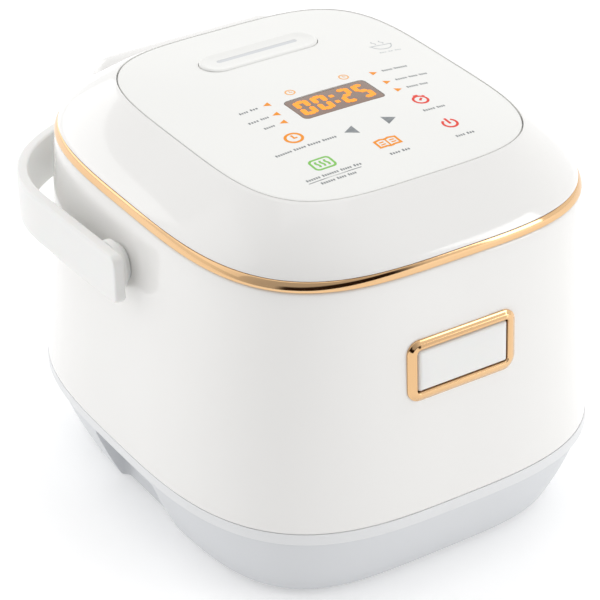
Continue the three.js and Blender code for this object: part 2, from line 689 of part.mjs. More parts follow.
// Steam valve: a small open cup hanging from the removable inner lid.
function steamValve() {
  return piece('steam_valve', turned([
    [5, 170], [11, 170], [11, 178.2], [12.5, 180.4], [7, 180.4], [7, 172], [5, 172],
  ], 0, VENT.y, 20), FINISH.satinWhite);
}

// Moulded underside of the lid, inside the trim ring, pierced for steam.
function lidLiner() {
  const outer = inset(LEVEL.trimHigh, 3.6);
  const [low, high] = [182.4, 184.4];
  const plate = loft([{ a: 0, z: low }, { ...outer, z: low }, { ...outer, z: high }, { a: 0, z: high }]);
  const pipe = turned([[0, low - 1], [7.2, low - 1], [7.2, high + 1], [0, high + 1]], 0, VENT.y, 20);
  return piece('lid_liner', cutAll(plate, [pipe, hingeHump(0.6)]), FINISH.satinWhite);
}

// Removable inner lid of thin metal, and the silicone gasket round it that seals on the pot.
function innerLid() {
  const [low, high] = [180.8, 181.9];
  const plate = turned([[0, low], [83.4, low], [83.4, high], [0, high]], 0, POT.y, 28);
  const pipe = turned([[0, low - 1], [7.2, low - 1], [7.2, high + 1], [0, high + 1]], 0, VENT.y, 20);
  const rim = POT.rim + GAP;
  return [
    piece('inner_lid_plate', plate.subtract(pipe), FINISH.aluminium),
    piece('lid_gasket', turned([
      [83.8, high - 1], [86, rim], [91, rim], [91.6, high], [86, 182], [83.8, 182],
    ], 0, POT.y, 28), FINISH.silicone),
  ];
}

// Striker on the lid's front: a tab with a window for the lever's hook.
function lidCatch() {
  const tab = block([-10, -104.2, 171], [10, -102.2, 182.4 - GAP]);
  const window = block([-6.5, -106, 176.6], [6.5, -100, 180.4]);
  return piece('lid_catch', tab.subtract(window), FINISH.steel);
}

// ---------------------------------------------------------------- carry handle

// The back of the handle in plan, from its right arm round to its left, moved in by a wall.
function handleBow(by, steps = 20) {
  const { half, depth, cornerY, n } = HANDLE;
  return Array.from({ length: steps + 1 }, (_, i) => {
    const angle = (i / steps) * Math.PI;
    return new THREE.Vector2(
      (half - by) * power(Math.cos(angle), 2 / n),
      (depth - by) * power(Math.sin(angle), 2 / n) + cornerY,
    );
  });
}

// A side view drawn in Y and Z, pushed through from one x to another.
function across(shape, from, to, curveSegments = 4) {
  const geometry = new THREE.ExtrudeGeometry(shape, {
    depth: to - from, bevelEnabled: false, curveSegments,
  });
  geometry.applyMatrix4(new THREE.Matrix4().makeBasis(
    new THREE.Vector3(0, 1, 0), new THREE.Vector3(0, 0, 1), new THREE.Vector3(1, 0, 0),
  ));
  geometry.translate(from, 0, 0);
  return solid(geometry);
}

// A bar along X on the left or right side, between two distances from the middle.
function sideBar(side, radius, near, far, z = HANDLE.pivotZ) {
  const [from, to] = [side * near, side * far].sort((p, q) => p - q);
  return barX(radius, from, to, 0, z, 24);
}

// A flat strap bent round the body's back, with squared ends that turn on the two pivots.
function handle() {
  const { half, thick, height, front, corner, cornerY, depth, pivotZ } = HANDLE;
  const plan = new THREE.Shape([
    new THREE.Vector2(half, -front), ...handleBow(0), new THREE.Vector2(-half, -front),
    new THREE.Vector2(thick - half, -front), ...handleBow(thick).reverse(),
    new THREE.Vector2(half - thick, -front),
  ]);
  const strap = raised(plan, -height / 2 - 1, height / 2 + 1);
  const length = 2 * (cornerY + depth);
  const side = across(roundedRectangle(length, height, corner), -half - 1, half + 1)
    .translate([0, length / 2 - front, 0]);
  const bores = sides((_, sign) => sideBar(sign, 6 + GAP, half - thick - 1, half - 2.5, 0));
  const droop = -THREE.MathUtils.radToDeg(HANDLE_DROOP);
  const turnedDown = cutAll(strap.intersect(side), bores).rotate([droop, 0, 0]);
  return piece('handle', turnedDown.translate([0, 0, pivotZ]), FINISH.satinWhite);
}

// Stepped round bosses that fit the body's side and carry the handle's ends.
function handlePivots() {
  const { half, thick } = HANDLE;
  const face = half - thick - GAP;
  return sides((name, side) => piece(`handle_pivot_${name}`, joinAll([
    sideBar(side, 13, face - 4, face),
    sideBar(side, 10.3, 108, face - 3).subtract(bodySolid(GAP)),
    sideBar(side, 9, 104, face - 3),
    sideBar(side, 6, face - 1, half - 2.5 - GAP),
  ]), FINISH.satinWhite));
}

// ---------------------------------------------------------------- the whole object

// A group of pieces and smaller groups.
function group(...members) {
  const result = new THREE.Group();
  result.add(...members.flat());
  return result;
}

const base = group(baseTray(), baseCollar(), feet(), baseScrews());
const body = group(outerShell(), upperFrame(), potWell(), innerPot(), handlePivots());
const heater = group(heatingPlate(), heatingElement(), thermalSensor(), sensorSpring(), sensorBracket(),
  thermalFuse(), electrics());
const rear = group(powerInlet(), inletPins(), cupHolder(), condensateCup(), hingeBracket(), hingePin(), lidSpring());
const latch = group(buttonBezel(), latchButton(), latchSpring(), latchCarrier(), latchPin(), latchLever());
const lid = group(lidShell(), trimRing(), topPanel(), displayWindow(), controlBoard(), hingeCover(),
  steamVentCap(), ventHousing(), ventSeal(), lidLiner(), innerLid(), steamValve(), lidCatch());

const cooker = group(base, body, heater, rear, latch, lid, handle());
cooker.position.set(0, (FRONT_OF_COLLAR - BACK_OF_HANDLE) / 2, FOOT_STAND);

export default group(cooker);
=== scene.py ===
"""Looks of a compact rice cooker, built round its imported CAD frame.

Every shape is worked out in millimetres from the middle of the body at the base's lower edge,
and moved to the frame's own origin when its mesh is made.
"""

import sys
import logging
import math
from dataclasses import dataclass, replace
from enum import Enum
from functools import lru_cache
from typing import Callable, Iterable, Optional, Sequence, Union

import bmesh
import bpy
import numpy as np
from mathutils import Matrix, Vector


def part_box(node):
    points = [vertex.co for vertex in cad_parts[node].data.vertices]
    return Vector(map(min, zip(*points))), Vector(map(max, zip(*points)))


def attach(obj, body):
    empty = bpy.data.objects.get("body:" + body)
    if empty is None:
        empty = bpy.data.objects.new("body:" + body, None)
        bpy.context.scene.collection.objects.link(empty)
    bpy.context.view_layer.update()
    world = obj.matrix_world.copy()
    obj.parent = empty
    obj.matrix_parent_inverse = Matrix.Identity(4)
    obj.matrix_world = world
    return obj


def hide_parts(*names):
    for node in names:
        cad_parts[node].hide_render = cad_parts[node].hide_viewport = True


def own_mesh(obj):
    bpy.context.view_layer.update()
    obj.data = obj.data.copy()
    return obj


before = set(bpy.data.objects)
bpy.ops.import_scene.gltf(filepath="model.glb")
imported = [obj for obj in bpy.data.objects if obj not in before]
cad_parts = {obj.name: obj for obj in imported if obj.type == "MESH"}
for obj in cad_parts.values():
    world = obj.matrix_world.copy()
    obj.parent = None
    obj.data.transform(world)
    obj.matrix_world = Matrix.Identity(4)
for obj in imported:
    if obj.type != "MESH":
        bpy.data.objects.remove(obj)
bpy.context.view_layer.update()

LOG = logging.getLogger("rice_cooker")
MM = 0.001
AROUND = 208  # points round a full-size outline
SHARP = math.radians(34)  # edges that turn more than this stay crisp
CUT_LOW, CUT_HIGH = 190, 230  # heights, in millimetres, of the cuts that go right through the lid's top

Point2 = tuple[float, float]
Ring = np.ndarray


# ------------------------------------------------------------------ outlines and profiles


@dataclass(frozen=True)
class Level:
    """A superellipse outline at a height: half width a, half depth b, squareness n, middle y."""

    z: float
    a: float
    b: float
    n: float = 2.0
    y: float = 0.0

    def inset(self, by: float, z: Optional[float] = None) -> "Level":
        """The same outline moved inwards, and optionally to another height."""
        return replace(self, a=self.a - by, b=self.b - by, z=self.z if z is None else z)

    def ring(self, around: int = AROUND) -> Ring:
        """Points round the outline, evenly spaced on a body-shaped outline."""
        angles = spread_angles(around, self.n > 2.01)
        cosine, sine = np.cos(angles), np.sin(angles)
        power = 2.0 / self.n
        x = self.a * np.sign(cosine) * np.abs(cosine) ** power
        y = self.b * np.sign(sine) * np.abs(sine) ** power + self.y
        return np.stack([x, y, np.full_like(x, self.z)], axis=1)


@lru_cache(maxsize=None)
def spread_angles(around: int, squarish: bool) -> np.ndarray:
    """Angles that space points evenly along an outline.

    Args:
        around: how many points.
        squarish: whether the outline is the body's rounded square or a plain circle.

    Returns:
        The angles, counted from half a step, so that both axes are mirror lines.
    """
    if not squarish:
        return (np.arange(around) + 0.5) * 2 * math.pi / around
    half_width, half_depth, squareness = 112, 129, 3.4  # the body at about half height
    fine = np.linspace(0, 2 * math.pi, 20001)
    cosine, sine = np.cos(fine), np.sin(fine)
    power = 2 / squareness
    x = half_width * np.sign(cosine) * np.abs(cosine) ** power
    y = half_depth * np.sign(sine) * np.abs(sine) ** power
    length = np.concatenate([[0], np.cumsum(np.hypot(np.diff(x), np.diff(y)))])
    wanted = (np.arange(around) + 0.5) / around * length[-1]
    return np.interp(wanted, length, fine)


def curve_through(levels: Sequence[Level], z: float) -> Level:
    """The outline at a height, on the smooth curve through two or three given levels."""

    def value(key: Callable[[Level], float]) -> float:
        """One of the outline's measures at the height."""
        total = 0.0
        for level in levels:
            weight = 1.0
            for other in levels:
                if other is not level:
                    weight *= (z - other.z) / (level.z - other.z)
            total += weight * key(level)
        return total

    return Level(z, value(lambda l: l.a), value(lambda l: l.b), value(lambda l: l.n), value(lambda l: l.y))


def rounded(corners: Sequence[tuple[float, ...]], closed: bool = True, steps: int = 4) -> list[Point2]:
    """A drawn profile with its corners rounded.

    Args:
        corners: (u, v) or (u, v, radius) at each corner, in order.
        closed: whether the last corner joins the first.
        steps: how many short sides make each round.

    Returns:
        The profile's points.
    """
    count = len(corners)
    result: list[Point2] = []
    for i, corner in enumerate(corners):
        here = np.array(corner[:2], float)
        radius = corner[2] if len(corner) > 2 else 0.0
        if radius <= 0 or (not closed and i in (0, count - 1)):
            result.append((here[0], here[1]))
            continue
        before = np.array(corners[i - 1][:2], float) - here
        after = np.array(corners[(i + 1) % count][:2], float) - here
        before /= np.linalg.norm(before)
        after /= np.linalg.norm(after)
        half = math.acos(float(np.clip(before @ after, -1, 1))) / 2
        reach = radius / math.tan(half)
        start, end = here + before * reach, here + after * reach
        centre = here + (before + after) / np.linalg.norm(before + after) * radius / math.sin(half)
        first = math.atan2(*(start - centre)[::-1])
        sweep = math.atan2(*(end - centre)[::-1]) - first
        sweep = (sweep + math.pi) % (2 * math.pi) - math.pi
        for k in range(steps + 1):
            angle = first + sweep * k / steps
            result.append((centre[0] + radius * math.cos(angle), centre[1] + radius * math.sin(angle)))
    return result


def rounded_rectangle(width: float, height: float, radius: float, per_corner: int = 8) -> list[Point2]:
    """A rounded rectangle centred on the origin, with the same count of points at any size."""
    radius = max(radius, 0.02)
    points = []
    for quarter in range(4):
        sx, sy = [(1, 1), (-1, 1), (-1, -1), (1, -1)][quarter]
        cx, cy = sx * (width / 2 - radius), sy * (height / 2 - radius)
        for k in range(per_corner + 1):
            angle = (quarter + k / per_corner) * math.pi / 2
            points.append((cx + radius * math.cos(angle), cy + radius * math.sin(angle)))
    return points


# ------------------------------------------------------------------ shapes


@dataclass
class Shape:
    """Vertices in millimetres and the faces that join them."""

    points: np.ndarray
    faces: list[tuple[int, ...]]

    def moved(self, matrix: Matrix) -> "Shape":
        """The shape placed by a matrix in millimetres."""
        rotation = np.array(matrix.to_3x3())
        return Shape(self.points @ rotation.T + np.array(matrix.translation), self.faces)

    def shifted(self, x: float = 0, y: float = 0, z: float = 0) -> "Shape":
        """The shape moved without turning."""
        return Shape(self.points + np.array([x, y, z]), self.faces)

    def along_x(self) -> "Shape":
        """A shape made about Z, laid along X."""
        return Shape(self.points[:, [2, 0, 1]], self.faces)


def merged(shapes: Iterable[Shape]) -> Shape:
    """Several shapes as one."""
    points, faces, start = [], [], 0
    for shape in shapes:
        points.append(shape.points)
        faces.extend(tuple(i + start for i in face) for face in shape.faces)
        start += len(shape.points)
    return Shape(np.concatenate(points), faces)


def skin(rings: Sequence[Ring], loop: bool = False) -> Shape:
    """A skin over rings of equal count.

    Args:
        rings: outlines in order, each an array of points; the first and last may be one point.
        loop: whether the last ring joins the first, which makes a closed tube.

    Returns:
        The closed shape; open ends are capped.
    """
    starts = np.cumsum([0] + [len(ring) for ring in rings])
    faces: list[tuple[int, ...]] = []
    pairs = [(i, i + 1) for i in range(len(rings) - 1)]
    if loop:
        pairs.append((len(rings) - 1, 0))
    for low, high in pairs:
        n_low, n_high = len(rings[low]), len(rings[high])
        count = max(n_low, n_high)
        for k in range(count):
            after = (k + 1) % count
            a, b = starts[low] + k % n_low, starts[low] + after % n_low
            c, d = starts[high] + after % n_high, starts[high] + k % n_high
            corners = [a, b, c, d]
            unique = [v for i, v in enumerate(corners) if v not in corners[:i]]
            faces.append(tuple(int(v) for v in unique))
    if not loop:
        for index, flip in ((0, True), (len(rings) - 1, False)):
            if len(rings[index]) > 1:
                cap = range(starts[index], starts[index] + len(rings[index]))
                faces.append(tuple(reversed(cap)) if flip else tuple(cap))
    return Shape(np.concatenate(rings), faces)


def loft(levels: Sequence[Level], loop: bool = False, around: int = AROUND) -> Shape:
    """A skin over outlines; one with no width is a point on the axis."""
    rings = [
        np.array([[0.0, level.y, level.z]]) if level.a <= 0 else level.ring(around) for level in levels
    ]
    return skin(rings, loop)


def along_wall(
    outline: Callable[[float], Level], profile: Sequence[Point2], loop: bool = True, around: int = AROUND
) -> Shape:
    """A wall drawn as (inset, height) points and carried round a body whose outline changes with height."""
    return loft([outline(z).inset(inset, z) for inset, z in profile], loop, around)


def turned(profile: Sequence[Point2], x: float = 0, y: float = 0, around: int = 64) -> Shape:
    """A turned piece about a vertical axis from (radius, height) points; one off the axis is a ring."""
    on_axis = profile[0][0] <= 0
    levels = [Level(z, radius, radius) for radius, z in profile]
    return loft(levels, not on_axis, around).shifted(x, y)


def prism(outline: Sequence[Point2], low: float, high: float, edge: float = 0.0) -> Shape:
    """An outline in plan raised between two heights, with both edges rounded off.

    Args:
        outline: the plan's points.
        low: lower face.
        high: upper face.
        edge: radius of the rounded edges.

    Returns:
        The closed shape.
    """
    points = np.array(outline, float)
    following = np.roll(points, -1, axis=0) - points
    normal = np.stack([following[:, 1], -following[:, 0]], axis=1)
    length = np.linalg.norm(normal, axis=1, keepdims=True)
    normal = normal / np.where(length < 1e-9, 1, length)
    outward = normal + np.roll(normal, 1, axis=0)
    outward /= np.maximum(np.linalg.norm(outward, axis=1, keepdims=True), 1e-9)
    area = np.sum(points[:, 0] * np.roll(points[:, 1], -1) - points[:, 1] * np.roll(points[:, 0], -1))
    if area < 0:
        outward = -outward

    def ring(inset: float, z: float) -> Ring:
        """The outline moved in, at a height."""
        flat = points - outward * inset
        return np.column_stack([flat, np.full(len(flat), z)])

    if edge <= 0:
        return skin([ring(0, low), ring(0, high)])
    steps = [i / 4 * math.pi / 2 for i in range(5)]
    rings = [ring(edge * (1 - math.sin(t)), low + edge * (1 - math.cos(t))) for t in steps]
    rings += [ring(edge * (1 - math.cos(t)), high - edge * (1 - math.sin(t))) for t in steps]
    return skin(rings)


def brick(low: Sequence[float], high: Sequence[float], edge: float = 0.0) -> Shape:
    """A box between two corners with its edges rounded off."""
    size = [h - l for l, h in zip(low, high)]
    middle = [(h + l) / 2 for l, h in zip(low, high)]
    plan = rounded_rectangle(size[0], size[1], max(edge, 0.02), 3)
    return prism(plan, low[2], high[2], edge).shifted(middle[0], middle[1])


def swept(path: np.ndarray, section: Sequence[Point2], up: Vector = Vector((0, 0, 1))) -> Shape:
    """A section carried along an open path, square to it.

    Args:
        path: the path's points.
        section: (across, up) points.
        up: the direction that the section's second axis leans to.

    Returns:
        The closed shape with flat ends.
    """
    tangents = np.gradient(path, axis=0)
    tangents /= np.linalg.norm(tangents, axis=1, keepdims=True)
    rings = []
    for here, tangent in zip(path, tangents):
        across = np.cross(tangent, np.array(up))
        across /= np.linalg.norm(across)
        second = np.cross(across, tangent)
        rings.append(np.array([here + across * u + second * v for u, v in section]))
    return skin(rings)


def circle(radius: float, count: int = 12) -> list[Point2]:
    """Points round a circle."""
    angles = [2 * math.pi * k / count for k in range(count)]
    return [(radius * math.cos(angle), radius * math.sin(angle)) for angle in angles]


def coil(radius: float, wire: float, height: float, turns: float) -> Shape:
    """A coil spring about its own Z axis, its ends wound a little closer."""
    steps_a_turn, closing = 28, 0.035
    t = np.linspace(0, 1, int(turns * steps_a_turn))
    eased = t - np.sin(2 * math.pi * t) * closing
    angle = t * turns * 2 * math.pi
    rise = wire + eased * (height - 2 * wire)
    path = np.stack([radius * np.cos(angle), radius * np.sin(angle), rise], axis=1)
    return swept(path, circle(wire, 10))


def bar_x(
    radius: float, start: float, end: float, y: float, z: float, edge: float = 0.0, around: int = 64
) -> Shape:
    """A round bar along X with rounded edges."""
    profile = rounded([(0, start), (radius, start, edge), (radius, end, edge), (0, end)], closed=False)
    return turned(profile, around=around).along_x().shifted(0, y, z)


# ------------------------------------------------------------------ finishes


def linear(hex_colour: str, alpha: float = 1.0) -> tuple[float, float, float, float]:
    """An sRGB hex colour as linear red, green, blue and alpha."""
    channels = [int(hex_colour[i : i + 2], 16) / 255 for i in (1, 3, 5)]
    values = [c / 12.92 if c <= 0.04045 else ((c + 0.055) / 1.055) ** 2.4 for c in channels]
    return (values[0], values[1], values[2], alpha)


def add_node(
    tree: bpy.types.NodeTree, kind: str, inputs: Optional[dict] = None, **settings
) -> bpy.types.Node:
    """Adds a node.

    Args:
        tree: the node tree to add it to.
        kind: the node's type.
        inputs: values, or sockets to link, by input name or number.
        **settings: the node's own properties.

    Returns:
        The new node.
    """
    node = tree.nodes.new(kind)
    for key, value in settings.items():
        setattr(node, key, value)
    for key, value in (inputs or {}).items():
        if isinstance(value, bpy.types.NodeSocket):
            tree.links.new(value, node.inputs[key])
        else:
            node.inputs[key].default_value = value
    return node


@dataclass(frozen=True)
class Finish:
    """A real material and how its surface was made, as a shader.

    The base colour drifts a little between two tones, the roughness drifts with handling, and the
    relief is the surface's own grain; each has a real size in millimetres.
    """

    name: str
    tone: str
    second_tone: str
    roughness: float
    ior: float = 1.5
    metallic: float = 0.0
    drift_mm: float = 60.0
    roughness_spread: float = 0.04
    grain_mm: float = 0.6
    relief_mm: float = 0.004
    coat: float = 0.0
    coat_roughness: float = 0.03
    subsurface: float = 0.0
    specular: float = 0.5

    def tree(self) -> tuple[bpy.types.Material, bpy.types.NodeTree, bpy.types.Node]:
        """An empty material with its shader already linked to the output."""
        material = bpy.data.materials.new(self.name)
        material.use_nodes = True
        nodes = material.node_tree
        nodes.nodes.clear()
        shader = add_node(
            nodes,
            "ShaderNodeBsdfPrincipled",
            {
                "Roughness": self.roughness,
                "Metallic": self.metallic,
                "Coat Weight": self.coat,
                "Coat Roughness": self.coat_roughness,
                "Specular IOR Level": self.specular,
                "Subsurface Weight": self.subsurface,
                "Subsurface Scale": 0.002,
            },
        )
        if self.metallic < 0.5:
            shader.inputs["IOR"].default_value = self.ior
        add_node(nodes, "ShaderNodeOutputMaterial", {"Surface": shader.outputs["BSDF"]})
        return material, nodes, shader

    def noise(self, nodes: bpy.types.NodeTree, size_mm: float, detail: float = 2.0) -> bpy.types.Node:
        """Noise whose blotches are about a size in millimetres, fixed to the piece."""
        place = add_node(nodes, "ShaderNodeTexCoord")
        return add_node(
            nodes,
            "ShaderNodeTexNoise",
            {"Vector": place.outputs["Object"], "Scale": 1 / (size_mm * MM), "Detail": detail},
        )

    def mix_tones(
        self, nodes: bpy.types.NodeTree, shader: bpy.types.Node, factor: bpy.types.NodeSocket
    ) -> None:
        """Drives the base colour between the two tones."""
        mix = add_node(nodes, "ShaderNodeMix", data_type="RGBA")
        mix.inputs["A"].default_value = linear(self.tone)
        mix.inputs["B"].default_value = linear(self.second_tone)
        nodes.links.new(factor, mix.inputs["Factor"])
        nodes.links.new(mix.outputs["Result"], shader.inputs["Base Color"])

    def spread_roughness(
        self, nodes: bpy.types.NodeTree, shader: bpy.types.Node, factor: bpy.types.NodeSocket
    ) -> None:
        """Lets the roughness drift round its middle value."""
        low, high = self.roughness - self.roughness_spread, self.roughness + self.roughness_spread
        ranged = add_node(
            nodes, "ShaderNodeMapRange", {"Value": factor, "To Min": max(low, 0.02), "To Max": high}
        )
        nodes.links.new(ranged.outputs["Result"], shader.inputs["Roughness"])

    def raise_relief(
        self, nodes: bpy.types.NodeTree, shader: bpy.types.Node, height: bpy.types.NodeSocket
    ) -> None:
        """Turns a height pattern into relief of this finish's real depth."""
        depth = {"Height": height, "Distance": self.relief_mm * MM, "Strength": 1.0}
        bump = add_node(nodes, "ShaderNodeBump", depth)
        nodes.links.new(bump.outputs["Normal"], shader.inputs["Normal"])

    def make(self) -> bpy.types.Material:
        """The finished material."""
        material, nodes, shader = self.tree()
        drift = self.noise(nodes, self.drift_mm).outputs["Fac"]
        self.mix_tones(nodes, shader, drift)
        self.spread_roughness(nodes, shader, drift)
        self.raise_relief(nodes, shader, self.noise(nodes, self.grain_mm, 4).outputs["Fac"])
        return material


@dataclass(frozen=True)
class BrushedFinish(Finish):
    """Metal drawn or brushed along one axis: fine parallel scratches."""

    along: tuple[float, float, float] = (0.02, 1.0, 1.0)

    def make(self) -> bpy.types.Material:
        """The finished material, its scratches stretched along one axis."""
        material, nodes, shader = self.tree()
        place = add_node(nodes, "ShaderNodeTexCoord")
        stretched = add_node(
            nodes, "ShaderNodeMapping", {"Vector": place.outputs["Object"], "Scale": self.along}
        )
        scratches = add_node(
            nodes,
            "ShaderNodeTexNoise",
            {"Vector": stretched.outputs["Vector"], "Scale": 1 / (self.grain_mm * MM), "Detail": 3.0},
        )
        self.mix_tones(nodes, shader, scratches.outputs["Fac"])
        self.spread_roughness(nodes, shader, scratches.outputs["Fac"])
        self.raise_relief(nodes, shader, scratches.outputs["Fac"])
        return material


@dataclass(frozen=True)
class DotMatrixFinish(Finish):
    """Tinted acrylic over a dot-matrix lamp: fine round cells that catch a little light."""

    pitch_mm: float = 0.8

    def make(self) -> bpy.types.Material:
        """The finished material with its cells."""
        material, nodes, shader = self.tree()
        place = add_node(nodes, "ShaderNodeTexCoord")
        cells = add_node(
            nodes,
            "ShaderNodeTexVoronoi",
            {"Vector": place.outputs["Object"], "Scale": 1 / (self.pitch_mm * MM), "Randomness": 0.0},
            voronoi_dimensions="2D",
        )
        dots = add_node(
            nodes,
            "ShaderNodeMapRange",
            {"Value": cells.outputs["Distance"], "From Min": 0.3, "From Max": 0.5},
        )
        self.mix_tones(nodes, shader, dots.outputs["Result"])
        return material


@dataclass(frozen=True)
class GlowFinish(Finish):
    """Lit segments behind the window: an even glow."""

    glow: float = 1.0

    def make(self) -> bpy.types.Material:
        """The finished material, lit from inside."""
        material, nodes, shader = self.tree()
        self.mix_tones(nodes, shader, self.noise(nodes, self.drift_mm).outputs["Fac"])
        shader.inputs["Emission Color"].default_value = linear(self.tone)
        shader.inputs["Emission Strength"].default_value = self.glow
        return material


class Finishes(Enum):
    """Every finish on the cooker."""

    # ABS, injection moulded in a mirror-polished tool: a warm white with a crisp, shallow gloss.
    POLISHED_ABS = Finish("polished_white_abs", "#EFEEEB", "#F1F0EE", 0.13, 1.53, relief_mm=0.0012,
                          grain_mm=7.0, drift_mm=90.0, roughness_spread=0.03, coat=0.6)
    # ABS under a printed satin film: the same white, its highlights spread wide.
    SATIN_FILM = Finish("satin_panel_film", "#F0F0ED", "#F2F2EF", 0.36, 1.5, grain_mm=0.5, relief_mm=0.0015)
    # Polypropylene from a lightly textured tool: soft highlights and a fine even grain.
    SATIN_PP = Finish("satin_white_pp", "#EEEEEC", "#F0F0EE", 0.4, 1.49, grain_mm=0.45, relief_mm=0.003,
                      subsurface=0.05)
    # The same resin tinted a pale blue grey, for the base.
    PALE_GREY_PP = Finish("pale_blue_grey_pp", "#D5D7DA", "#DADCDE", 0.44, 1.49, grain_mm=0.5,
                          relief_mm=0.004)
    # The collar's lighter tint, a little glossier.
    COLLAR_ABS = Finish("light_grey_abs", "#E4E5E6", "#E8E9EA", 0.34, 1.53, grain_mm=0.5, relief_mm=0.002)
    # ABS plated with copper-tinted chrome, polished: warm mirror reflections.
    ROSE_GOLD = Finish("rose_gold_plated_abs", "#DFB483", "#EAC598", 0.08, metallic=1.0, grain_mm=9.0,
                       relief_mm=0.001, roughness_spread=0.03)
    # Cast aluminium, machined on top: grey with turning marks.
    CAST_ALUMINIUM = BrushedFinish("cast_aluminium", "#B9BBBD", "#C7C9CB", 0.38, metallic=1.0, grain_mm=0.5,
                                   relief_mm=0.006, along=(1.0, 1.0, 0.2))
    # Aluminium sheet, spun and anodised, for the inner lid.
    SPUN_ALUMINIUM = BrushedFinish("spun_aluminium_sheet", "#C4C6C7", "#D2D3D4", 0.3, metallic=1.0,
                                   grain_mm=0.4, relief_mm=0.003, along=(0.05, 1.0, 1.0))
    # Galvanised steel sheet, rolled: cool grey with a drawn grain.
    ROLLED_STEEL = BrushedFinish("rolled_steel_sheet", "#A9ACB0", "#B9BCC0", 0.34, metallic=1.0, grain_mm=0.4,
                                 relief_mm=0.004)
    # Spring steel wire and ground pins: darker and smoother.
    SPRING_STEEL = BrushedFinish("spring_steel_wire", "#8F9296", "#A3A6AA", 0.26, metallic=1.0, grain_mm=0.3,
                                 relief_mm=0.002)
    # Brass, stamped: yellow with a dull skin.
    STAMPED_BRASS = Finish("stamped_brass", "#C69A4B", "#B58A3E", 0.3, metallic=1.0, grain_mm=0.6,
                           relief_mm=0.003, drift_mm=6.0)
    # Two-layer non-stick coat, sprayed and baked on aluminium: charcoal with fine pale specks.
    NON_STICK = Finish("non_stick_coat", "#2B2C2E", "#3A3B3D", 0.42, 1.4, grain_mm=0.7, relief_mm=0.006,
                       drift_mm=1.6, roughness_spread=0.08)
    # Elastomer, compression moulded: matt grey with a slightly dusty skin.
    FOOT_RUBBER = Finish("foot_rubber", "#7F8285", "#8C8F92", 0.78, 1.52, grain_mm=0.5, relief_mm=0.01,
                         drift_mm=8.0)
    # Silicone, moulded: milky and soft.
    SILICONE = Finish("milky_silicone", "#DADAD5", "#E2E2DE", 0.5, 1.43, subsurface=0.25, grain_mm=0.8,
                      relief_mm=0.003, drift_mm=20.0)
    # Glass-fibre laminate under green solder mask: a woven glint under a thin gloss.
    SOLDER_MASK = Finish("green_solder_mask", "#1F5A38", "#2A6D45", 0.3, 1.55, grain_mm=1.0, relief_mm=0.01,
                         drift_mm=3.0)
    # Glass-filled nylon, moulded: near-black with a mottled, fibrous skin.
    FILLED_NYLON = Finish("glass_filled_nylon", "#232426", "#2E2F32", 0.5, 1.53, grain_mm=0.5,
                          relief_mm=0.008, drift_mm=5.0, roughness_spread=0.08)
    # Natural polypropylene: cloudy white, thin enough to look soft.
    CLOUDY_PP = Finish("cloudy_natural_pp", "#E6EAED", "#EDF0F2", 0.26, 1.49, subsurface=0.3, grain_mm=2.0,
                       relief_mm=0.002)
    # Tinted acrylic window over the lamp's cells; the real cells are 0.5 mm apart, drawn at 0.9 mm to show.
    SMOKED_ACRYLIC = DotMatrixFinish("smoked_acrylic_window", "#7C6458", "#A08A7E", 0.24, 1.49, pitch_mm=0.9)
    # The lamp's amber segments, lit from behind.
    AMBER_GLOW = GlowFinish("amber_segments", "#F7941E", "#F38A12", 0.5, glow=0.55)
    # Screen-printed ink, amber: flat and slightly matt, its tone a little uneven.
    AMBER_INK = Finish("amber_ink", "#F59000", "#F69A10", 0.6, 1.5, drift_mm=3.0)
    # The same ink printed thinner, for the small clocks.
    PALE_AMBER_INK = Finish("pale_amber_ink", "#F6B060", "#F7BA74", 0.5, 1.5, drift_mm=3.0)
    # Red ink, for the timer and the start key.
    RED_INK = Finish("red_ink", "#E63A28", "#E94836", 0.6, 1.5, drift_mm=3.0)
    # Green ink, for the warm key.
    GREEN_INK = Finish("green_ink", "#78C24A", "#88CC60", 0.5, 1.5, drift_mm=3.0)
    # Grey ink, for the labels.
    GREY_INK = Finish("grey_ink", "#75797B", "#868A8C", 0.5, 1.5, drift_mm=3.0)
    # Grey ink printed thinner, for the bowl.
    PALE_GREY_INK = Finish("pale_grey_ink", "#B4B8BA", "#BFC3C5", 0.5, 1.5, drift_mm=3.0)
    # Hot-stamped silver foil: streaked grey metal.
    SILVER_FOIL = BrushedFinish("silver_foil", "#6E7275", "#A6AAAD", 0.34, metallic=0.7, grain_mm=1.4,
                                relief_mm=0.001, along=(0.3, 1.0, 1.0))


@lru_cache(maxsize=None)
def material_of(finish: Finishes) -> bpy.types.Material:
    """The one material of a finish, made the first time that it is asked for."""
    return finish.value.make()


# ------------------------------------------------------------------ pieces


def add_bevel(target: bpy.types.Object, radius: float, segments: int, sharper_than: float) -> None:
    """Rounds off the edges of a mesh.

    Args:
        target: the object.
        radius: the width of the round in millimetres.
        segments: how many short sides make each round.
        sharper_than: the least turn, in degrees, of an edge that is rounded off.
    """
    bevel = target.modifiers.new("soft_edges", "BEVEL")
    bevel.width = radius * MM
    bevel.segments = segments
    bevel.limit_method = "ANGLE"
    bevel.angle_limit = math.radians(sharper_than)


